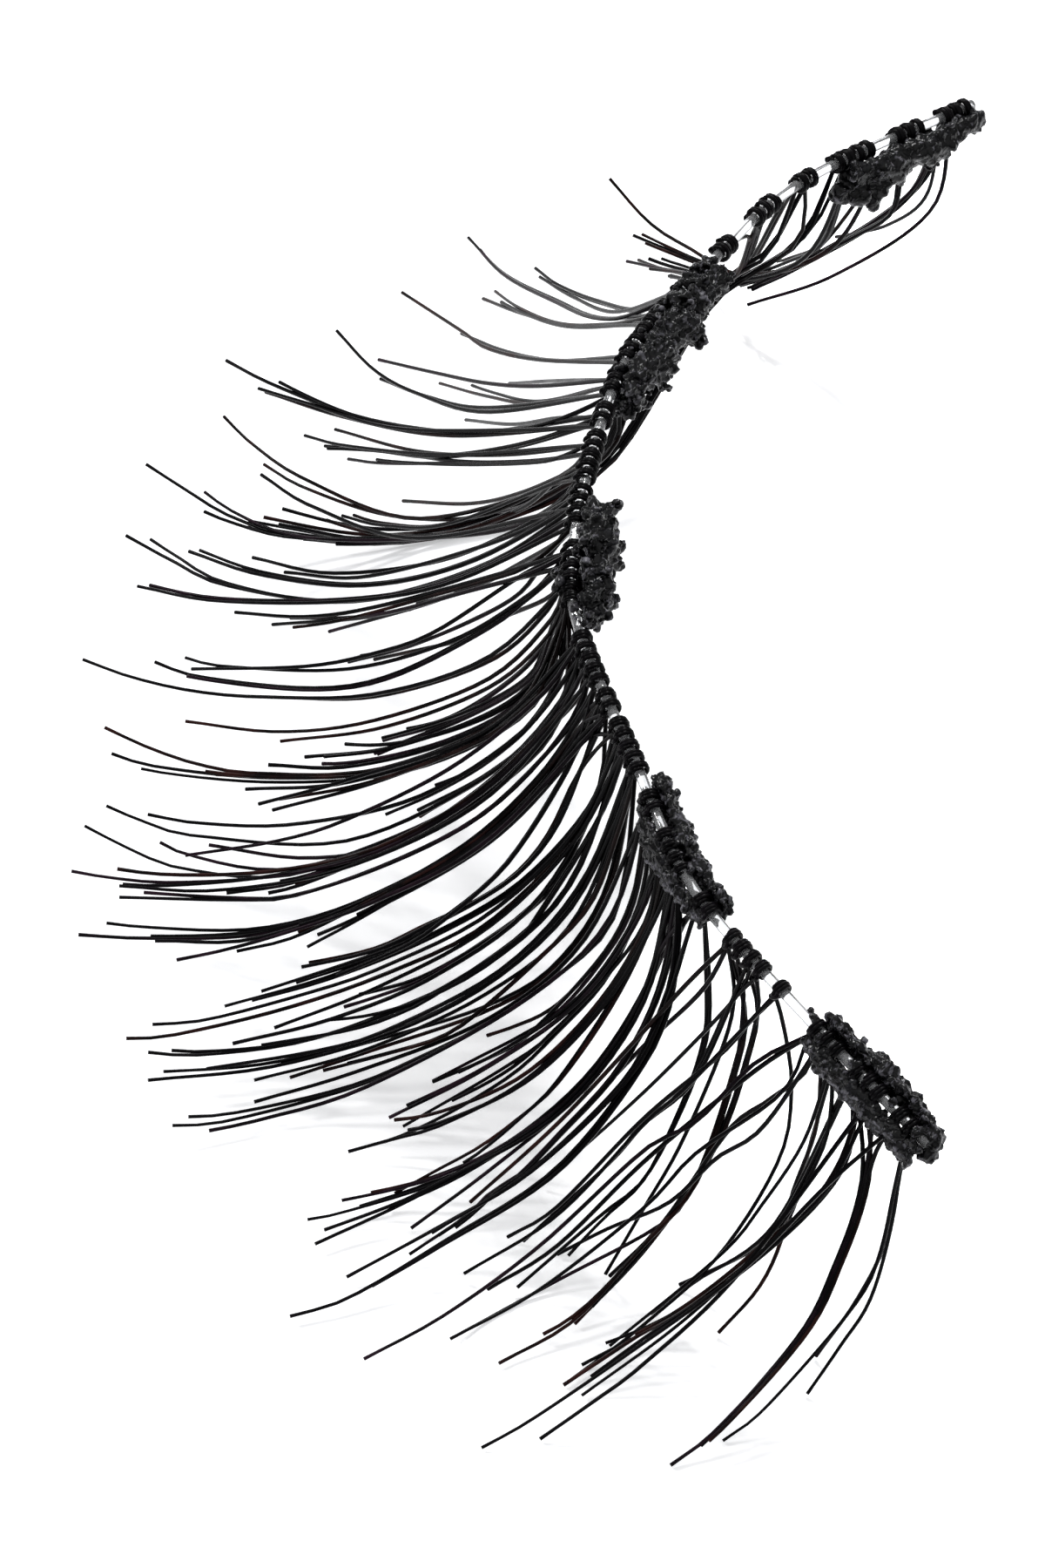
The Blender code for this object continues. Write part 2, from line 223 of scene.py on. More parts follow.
class Patterns:
    """Shader node groups that several finishes share, each built once."""

    MOTTLE_DETAIL = 4.0
    LUMPS_DETAIL = 5.0

    def __init__(self) -> None:
        """Builds the groups."""
        self.mottle = self._mottle()
        self.lumps = self._lumps()

    @staticmethod
    def _group(
        name: str,
        inputs: dict[str, tuple[str, object]],
        outputs: dict[str, str],
    ) -> bpy.types.NodeTree:
        """Starts a node group with named sockets.

        Args:
            name: The group's name.
            inputs: Socket name to its type and first value.
            outputs: Socket name to its type.

        Returns:
            The node tree, with its input and output nodes named "in" and "out".
        """
        tree = bpy.data.node_groups.new(name, "ShaderNodeTree")
        for label, (kind, value) in inputs.items():
            socket = tree.interface.new_socket(label, in_out="INPUT", socket_type=kind)
            socket.default_value = value
        for label, kind in outputs.items():
            tree.interface.new_socket(label, in_out="OUTPUT", socket_type=kind)
        tree.nodes.new("NodeGroupInput").name = "in"
        tree.nodes.new("NodeGroupOutput").name = "out"
        return tree

    def _mottle(self) -> bpy.types.NodeTree:
        """A mottled change between two colours, on object coordinates in patches of a given size.

        Returns:
            The group, with Color and Mask outputs.
        """
        tree = self._group(
            "mottle",
            {
                "Base": ("NodeSocketColor", (0.0, 0.0, 0.0, 1.0)),
                "Tint": ("NodeSocketColor", (0.1, 0.1, 0.1, 1.0)),
                "Scale": ("NodeSocketFloat", 1000.0),
                "From": ("NodeSocketFloat", 0.4),
                "To": ("NodeSocketFloat", 0.7),
            },
            {"Color": "NodeSocketColor", "Mask": "NodeSocketFloat"},
        )
        nodes, links = tree.nodes, tree.links
        place = nodes.new("ShaderNodeTexCoord")
        noise = nodes.new("ShaderNodeTexNoise")
        noise.inputs["Detail"].default_value = self.MOTTLE_DETAIL
        step = nodes.new("ShaderNodeMapRange")
        step.interpolation_type = "SMOOTHSTEP"
        blend = nodes.new("ShaderNodeMix")
        blend.data_type = "RGBA"
        links.new(place.outputs["Object"], noise.inputs["Vector"])
        links.new(nodes["in"].outputs["Scale"], noise.inputs["Scale"])
        links.new(noise.outputs["Fac"], step.inputs["Value"])
        links.new(nodes["in"].outputs["From"], step.inputs["From Min"])
        links.new(nodes["in"].outputs["To"], step.inputs["From Max"])
        links.new(step.outputs["Result"], blend.inputs["Factor"])
        links.new(nodes["in"].outputs["Base"], blend.inputs["A"])
        links.new(nodes["in"].outputs["Tint"], blend.inputs["B"])
        links.new(blend.outputs["Result"], nodes["out"].inputs["Color"])
        links.new(step.outputs["Result"], nodes["out"].inputs["Mask"])
        return tree

    def _lumps(self) -> bpy.types.NodeTree:
        """Fine lumps and creases, as a height.

        Returns:
            The group, with a Height output.
        """
        tree = self._group(
            "lumps",
            {
                "Scale": ("NodeSocketFloat", 8000.0),
                "Creases": ("NodeSocketFloat", 0.5),
            },
            {"Height": "NodeSocketFloat"},
        )
        nodes, links = tree.nodes, tree.links
        place = nodes.new("ShaderNodeTexCoord")
        noise = nodes.new("ShaderNodeTexNoise")
        noise.inputs["Detail"].default_value = self.LUMPS_DETAIL
        cells = nodes.new("ShaderNodeTexVoronoi")
        cells.feature = "DISTANCE_TO_EDGE"
        weigh = nodes.new("ShaderNodeMath")
        weigh.operation = "MULTIPLY"
        add = nodes.new("ShaderNodeMath")
        add.operation = "ADD"
        links.new(place.outputs["Object"], noise.inputs["Vector"])
        links.new(place.outputs["Object"], cells.inputs["Vector"])
        links.new(nodes["in"].outputs["Scale"], noise.inputs["Scale"])
        links.new(nodes["in"].outputs["Scale"], cells.inputs["Scale"])
        links.new(cells.outputs["Distance"], weigh.inputs[0])
        links.new(nodes["in"].outputs["Creases"], weigh.inputs[1])
        links.new(noise.outputs["Fac"], add.inputs[0])
        links.new(weigh.outputs["Value"], add.inputs[1])
        links.new(add.outputs["Value"], nodes["out"].inputs["Height"])
        return tree


@dataclass(frozen=True)
class Relief:
    """A fine relief: how many lumps to the metre, how much its creases count, and its depth in metres."""

    scale: float
    creases: float
    depth: float


@dataclass(frozen=True)
class Finish:
    """What every finish has: a name, a Principled shader and help to set it."""

    name: str

    def start(self) -> tuple[bpy.types.Material, bpy.types.NodeTree, bpy.types.Node]:
        """Starts a material.

        Returns:
            The material, its node tree and its Principled shader.
        """
        made = bpy.data.materials.new(self.name)
        made.use_nodes = True
        tree = made.node_tree
        return made, tree, tree.nodes["Principled BSDF"]

    @staticmethod
    def place(tree: bpy.types.NodeTree, group: bpy.types.NodeTree, **values: object) -> bpy.types.Node:
        """Places a shared group in a material with its own values.

        Args:
            tree: The material's node tree.
            group: The shared group.
            **values: Input name to value.

        Returns:
            The group node.
        """
        node = tree.nodes.new("ShaderNodeGroup")
        node.node_tree = group
        for label, value in values.items():
            node.inputs[label].default_value = value
        return node

    @staticmethod
    def mixed(tree: bpy.types.NodeTree, **values: Colour) -> bpy.types.Node:
        """Adds a node that mixes two colours.

        Args:
            tree: The material's node tree.
            **values: Input name, A or B, to a plain colour.

        Returns:
            The mix node.
        """
        node = tree.nodes.new("ShaderNodeMix")
        node.data_type = "RGBA"
        for label, colour in values.items():
            node.inputs[label].default_value = rgba(colour)
        return node

    @staticmethod
    def between(
        tree: bpy.types.NodeTree,
        mask: bpy.types.NodeSocket,
        values: Range,
        span: Range = (0.0, 1.0),
    ) -> bpy.types.NodeSocket:
        """Maps a mask to a range of values.

        Args:
            tree: The material's node tree.
            mask: The socket to read.
            values: The values at the two ends of the span.
            span: The stretch of the mask that is mapped.

        Returns:
            The socket that holds the mapped value.
        """
        node = tree.nodes.new("ShaderNodeMapRange")
        node.inputs["From Min"].default_value, node.inputs["From Max"].default_value = span
        node.inputs["To Min"].default_value, node.inputs["To Max"].default_value = values
        tree.links.new(mask, node.inputs["Value"])
        return node.outputs["Result"]

    def emboss(
        self,
        tree: bpy.types.NodeTree,
        shader: bpy.types.Node,
        patterns: Patterns,
        relief: Relief,
    ) -> None:
        """Feeds the shared lumps through a Bump node to the shader's normal.

        Args:
            tree: The material's node tree.
            shader: The Principled shader.
            patterns: The shared node groups.
            relief: The relief's sizes.
        """
        lumps = self.place(tree, patterns.lumps, Scale=relief.scale, Creases=relief.creases)
        node = tree.nodes.new("ShaderNodeBump")
        node.inputs["Distance"].default_value = relief.depth
        tree.links.new(lumps.outputs["Height"], node.inputs["Height"])
        tree.links.new(node.outputs["Normal"], shader.inputs["Normal"])


@dataclass(frozen=True)
class HairFinish(Finish):
    """Black dyed fibre with a soft sheen, and patches of a tint that grow towards its tip."""

    root: Colour
    tip: Colour
    patch_scale: float = 1400.0
    patch_span: Range = (0.35, 0.75)
    roughness: Range = (0.20, 0.34)
    relief: Relief = Relief(26000.0, 0.2, 0.004 * MM)
    specular: float = 0.07

    def make(self, patterns: Patterns) -> bpy.types.Material:
        """Makes the material.

        Args:
            patterns: The shared node groups.

        Returns:
            The material.
        """
        made, tree, shader = self.start()
        along = tree.nodes.new("ShaderNodeAttribute")
        along.attribute_name = ALONG
        fade = self.place(
            tree,
            patterns.mottle,
            Base=rgba(self.root),
            Tint=rgba(self.tip),
            Scale=self.patch_scale,
            From=self.patch_span[0],
            To=self.patch_span[1],
        )
        blend = self.mixed(tree, A=self.root)
        tree.links.new(along.outputs["Fac"], blend.inputs["Factor"])
        tree.links.new(fade.outputs["Color"], blend.inputs["B"])
        tree.links.new(blend.outputs["Result"], shader.inputs["Base Color"])
        tree.links.new(self.between(tree, fade.outputs["Mask"], self.roughness), shader.inputs["Roughness"])
        self.emboss(tree, shader, patterns, self.relief)
        shader.inputs["Specular IOR Level"].default_value = self.specular
        return made


@dataclass(frozen=True)
class GlueFinish(Finish):
    """Black lash glue, dried to a crinkled skin with faint patches of bloom, and a painted highlight that
    greys its ridges.
    """

    skin: Colour = (0.0010, 0.0010, 0.0014)
    bloom: Colour = (0.007, 0.007, 0.009)
    # A painted highlight: this grey goes into the base colour on the ridges.
    ridge_highlight: Colour = (0.120, 0.117, 0.135)
    bloom_scale: float = 3200.0
    bloom_span: Range = (0.56, 0.72)
    # The pointiness over which the painted highlight on the ridges comes in.
    ridge_highlight_span: Range = (0.565, 0.68)
    gloss_scale: float = 5200.0
    gloss_span: Range = (0.42, 0.6)
    roughness: Range = (0.07, 0.22)
    relief: Relief = Relief(8000.0, 0.8, 0.022 * MM)
    specular: float = 0.20

    def make(self, patterns: Patterns) -> bpy.types.Material:
        """Makes the material.

        Args:
            patterns: The shared node groups.

        Returns:
            The material.
        """
        made, tree, shader = self.start()
        film = self.place(
            tree,
            patterns.mottle,
            Base=rgba(self.skin),
            Tint=rgba(self.bloom),
            Scale=self.bloom_scale,
            From=self.bloom_span[0],
            To=self.bloom_span[1],
        )
        # Painted highlight: the most pointed parts of the skin, its ridges, are greyed in the base colour.
        shape = tree.nodes.new("ShaderNodeNewGeometry")
        ridge_highlight_mask = self.between(tree, shape.outputs["Pointiness"], (0.0, 1.0), self.ridge_highlight_span)
        blend = self.mixed(tree, B=self.ridge_highlight)
        tree.links.new(ridge_highlight_mask, blend.inputs["Factor"])
        tree.links.new(film.outputs["Color"], blend.inputs["A"])
        tree.links.new(blend.outputs["Result"], shader.inputs["Base Color"])
        gloss = self.place(
            tree,
            patterns.mottle,
            Scale=self.gloss_scale,
            From=self.gloss_span[0],
            To=self.gloss_span[1],
        )
        tree.links.new(self.between(tree, gloss.outputs["Mask"], self.roughness), shader.inputs["Roughness"])
        self.emboss(tree, shader, patterns, self.relief)
        shader.inputs["Specular IOR Level"].default_value = self.specular
        return made


@dataclass(frozen=True)
class NylonFinish(Finish):
    """Clear nylon line, with a faint haze."""

    tint: Colour = (0.97, 0.98, 0.99)
    haze: Colour = (0.90, 0.91, 0.93)
    haze_scale: float = 2500.0
    haze_span: Range = (0.4, 0.8)
    roughness: Range = (0.03, 0.16)
    relief: Relief = Relief(9000.0, 0.1, 0.002 * MM)
    transmission: float = 0.9
    ior: float = 1.53

    def make(self, patterns: Patterns) -> bpy.types.Material:
        """Makes the material.

        Args:
            patterns: The shared node groups.

        Returns:
            The material.
        """
        made, tree, shader = self.start()
        haze = self.place(
            tree,
            patterns.mottle,
            Base=rgba(self.tint),
            Tint=rgba(self.haze),
            Scale=self.haze_scale,
            From=self.haze_span[0],
            To=self.haze_span[1],
        )
        tree.links.new(haze.outputs["Color"], shader.inputs["Base Color"])
        tree.links.new(self.between(tree, haze.outputs["Mask"], self.roughness), shader.inputs["Roughness"])
        self.emboss(tree, shader, patterns, self.relief)
        shader.inputs["Transmission Weight"].default_value = self.transmission
        shader.inputs["IOR"].default_value = self.ior
        return made


@dataclass(frozen=True)
class SurfaceFinish(Finish):
    """The glossy white sheet that the strip stands on, which glows a little so that shadows stay faint."""

    white: Colour = (0.90, 0.905, 0.92)
    shade: Colour = (0.945, 0.945, 0.95)
    shade_scale: float = 60.0
    shade_span: Range = (0.3, 0.7)
    roughness: float = 0.10
    glow_colour: Colour = (0.985, 0.99, 1.0)
    glow: float = 0.38

    def make(self, patterns: Patterns) -> bpy.types.Material:
        """Makes the material.

        Args:
            patterns: The shared node groups.

        Returns:
            The material.
        """
        made, tree, shader = self.start()
        sheet = self.place(
            tree,
            patterns.mottle,
            Base=rgba(self.white),
            Tint=rgba(self.shade),
            Scale=self.shade_scale,
            From=self.shade_span[0],
            To=self.shade_span[1],
        )
        tree.links.new(sheet.outputs["Color"], shader.inputs["Base Color"])
        shader.inputs["Roughness"].default_value = self.roughness
        shader.inputs["Emission Color"].default_value = rgba(self.glow_colour)
        shader.inputs["Emission Strength"].default_value = self.glow
        return made


class HairTone(Enum):
    """The tones that the dyed hairs show, each with its finish."""

    RAVEN = HairFinish("hair_raven", (0.0010, 0.0008, 0.0012), (0.0040, 0.0030, 0.0045))
    UMBER = HairFinish("hair_umber", (0.0020, 0.0010, 0.0010), (0.0420, 0.0120, 0.0100))
    PLUM = HairFinish("hair_plum", (0.0016, 0.0008, 0.0018), (0.0260, 0.0100, 0.0200))


@dataclass(frozen=True)
class Station:
    """A station of the band: shares of its span, its depth and its height."""

    across: float
    depth: float
    height: float


@dataclass(frozen=True)
class Axes:
    """The band's directions at one place: along it, level to the eyelid, and up square to both."""

    run: Vector
    lid: Vector
    up: Vector


@dataclass
class Band:
    """The centre line of the band, at its place in the frame, read by share of its length."""

    span: float = 26.9 * MM
    depth: float = 7.65 * MM
    height: float = 7.2 * MM
    stations: tuple[Station, ...] = (
        Station(0.00, 0.80, 0.71),
        Station(0.08, 0.53, 0.84),
        Station(0.17, 0.28, 0.93),
        Station(0.28, 0.14, 0.98),
        Station(0.39, 0.02, 1.00),
        Station(0.46, 0.00, 1.00),
        Station(0.57, 0.05, 0.99),
        Station(0.68, 0.15, 0.965),
        Station(0.78, 0.34, 0.92),
        Station(0.88, 0.57, 0.865),
        Station(1.00, 1.00, 0.735),
    )
    steps: int = 24
    path: list[Vector] = field(init=False)
    reach: list[float] = field(init=False)

    def __post_init__(self) -> None:
        """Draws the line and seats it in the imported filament's box."""
        corners = [
            Vector((self.depth * s.depth, self.span * (s.across - 0.5), self.height * s.height))
            for s in self.stations
        ]
        self.path = smooth(corners, self.steps)
        low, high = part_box("band_filament")
        middle = 0.5 * (low + high)
        axes = range(3)
        own = [0.5 * (min(p[k] for p in self.path) + max(p[k] for p in self.path)) for k in axes]
        for point in self.path:
            point += middle - Vector(own)
        self.reach = [0.0]
        for near, far in zip(self.path, self.path[1:]):
            self.reach.append(self.reach[-1] + (far - near).length)

    @property
    def length(self) -> float:
        """The band's length."""
        return self.reach[-1]

    def point(self, share: float) -> Vector:
        """The point at a share of the length.

        Args:
            share: The share.

        Returns:
            The point.
        """
        wanted = clamp(share) * self.length
        i = next((k for k, r in enumerate(self.reach[1:]) if r >= wanted), len(self.path) - 2)
        part = (wanted - self.reach[i]) / (self.reach[i + 1] - self.reach[i])
        return self.path[i].lerp(self.path[i + 1], part)

    def axes(self, share: float, reach: float = 0.27 * MM) -> Axes:
        """The band's directions at a share of its length.

        Args:
            share: The place.
            reach: How far each way the run is measured.

        Returns:
            The directions.
        """
        step = reach / self.length
        run = (self.point(share + step) - self.point(share - step)).normalized()
        lid = run.cross(UP).normalized()
        return Axes(run, lid, lid.cross(run))


@dataclass
class Fibre:
    """One fibre: the points it follows, its radius at each, and its tone."""

    points: list[Vector]
    radii: list[float]
    tone: HairTone


def poly_curve(name: str, radius: float, bevel: int) -> bpy.types.Curve:
    """Starts a curve with round sections, for open polylines.

    Args:
        name: The curve's name.
        radius: The radius of its sections where a point's own radius is 1.
        bevel: How finely the sections are cut.

    Returns:
        The curve, with no spline yet.
    """
    curve = bpy.data.curves.new(name, "CURVE")
    curve.dimensions = "3D"
    curve.bevel_depth = radius
    curve.bevel_resolution = bevel
    return curve


def swept(curve: bpy.types.Curve) -> bpy.types.Object:
    """Makes a mesh of a curve.

    Args:
        curve: The curve.

    Returns:
        The object, selected and active, with open ends.
    """
    made = bpy.data.objects.new(curve.name, curve)
    bpy.context.scene.collection.objects.link(made)
    select_only(made)
    bpy.ops.object.convert(target="MESH")
    return bpy.context.view_layer.objects.active


def close_ends(sharp: float) -> None:
    """Closes the active mesh's open ends, turns its faces outwards and smooths it.

    Args:
        sharp: The angle in degrees from which an edge stays sharp.
    """
    bpy.ops.object.mode_set(mode="EDIT")
    bpy.ops.mesh.select_all(action="SELECT")
    bpy.ops.mesh.fill_holes(sides=0)
    bpy.ops.mesh.select_all(action="SELECT")
    bpy.ops.mesh.normals_make_consistent(inside=False)
    bpy.ops.object.mode_set(mode="OBJECT")
    bpy.ops.object.shade_smooth_by_angle(angle=math.radians(sharp))
    deselect()


@dataclass
class FibreMesh:
    """Fibres swept to one mesh with round sections and flat cut ends."""

    name: str
    fibres: list[Fibre]
    materials: dict[HairTone, bpy.types.Material]
    bevel: int = 1
    sharp: float = 62.0

    def make(self) -> bpy.types.Object:
        """Sweeps the fibres.

        Returns:
            The finished object. The attribute that ALONG names holds each point's share of its fibre.
        """
        curve = poly_curve(self.name, MM, self.bevel)
        tones = list(self.materials)
        for tone in tones:
            curve.materials.append(self.materials[tone])
        for fibre in self.fibres:
            spline = curve.splines.new("POLY")
            spline.points.add(len(fibre.points) - 1)
            spline.material_index = tones.index(fibre.tone)
            spline.use_smooth = True
            for spot, place, radius in zip(spline.points, fibre.points, fibre.radii):
                spot.co = (*place, 1.0)
                spot.radius = radius / MM
        made = swept(curve)
        self._mark(made)
        close_ends(self.sharp)
        return made

    def _mark(self, made: bpy.types.Object) -> None:
        """Writes each point's share of its fibre's length, ring by ring.

        Args:
            made: The swept mesh.
        """
        sides = len(made.data.vertices) // sum(len(f.points) for f in self.fibres)
        shares = []
        for fibre in self.fibres:
            last = len(fibre.points) - 1
            for i in range(len(fibre.points)):
                shares += [i / last] * sides
        along = made.data.attributes.new(ALONG, "FLOAT", "POINT")
        along.data.foreach_set("value", shares)


@dataclass(frozen=True)
class Knots:
    """A group of hitch knots on the band: its place as a share of the length, and how many rings it has."""

    place: float
    rings: int


# From the near end of the band to its far end.
KNOTS = (
    Knots(0.018, 2),
    Knots(0.048, 3),
    Knots(0.082, 3),
    Knots(0.121, 1),
    Knots(0.150, 4),
    Knots(0.188, 2),
    Knots(0.228, 4),
    Knots(0.265, 2),
    Knots(0.308, 5),
    Knots(0.344, 2),
    Knots(0.378, 5),
    Knots(0.448, 6),
    Knots(0.505, 4),
    Knots(0.548, 5),
    Knots(0.586, 2),
    Knots(0.618, 3),
    Knots(0.648, 3),
    Knots(0.681, 4),
    Knots(0.724, 3),
    Knots(0.765, 2),
    Knots(0.811, 3),
    Knots(0.853, 2),
    Knots(0.895, 4),
    Knots(0.943, 3),
    Knots(0.984, 3),
)


@dataclass(frozen=True)
class Strand:
    """Hairs that cling together: their number, and the pixels of their tip, their way and their root."""

    hairs: int
    tip: Pixel
    via: tuple[Pixel, ...]
    root: Pixel
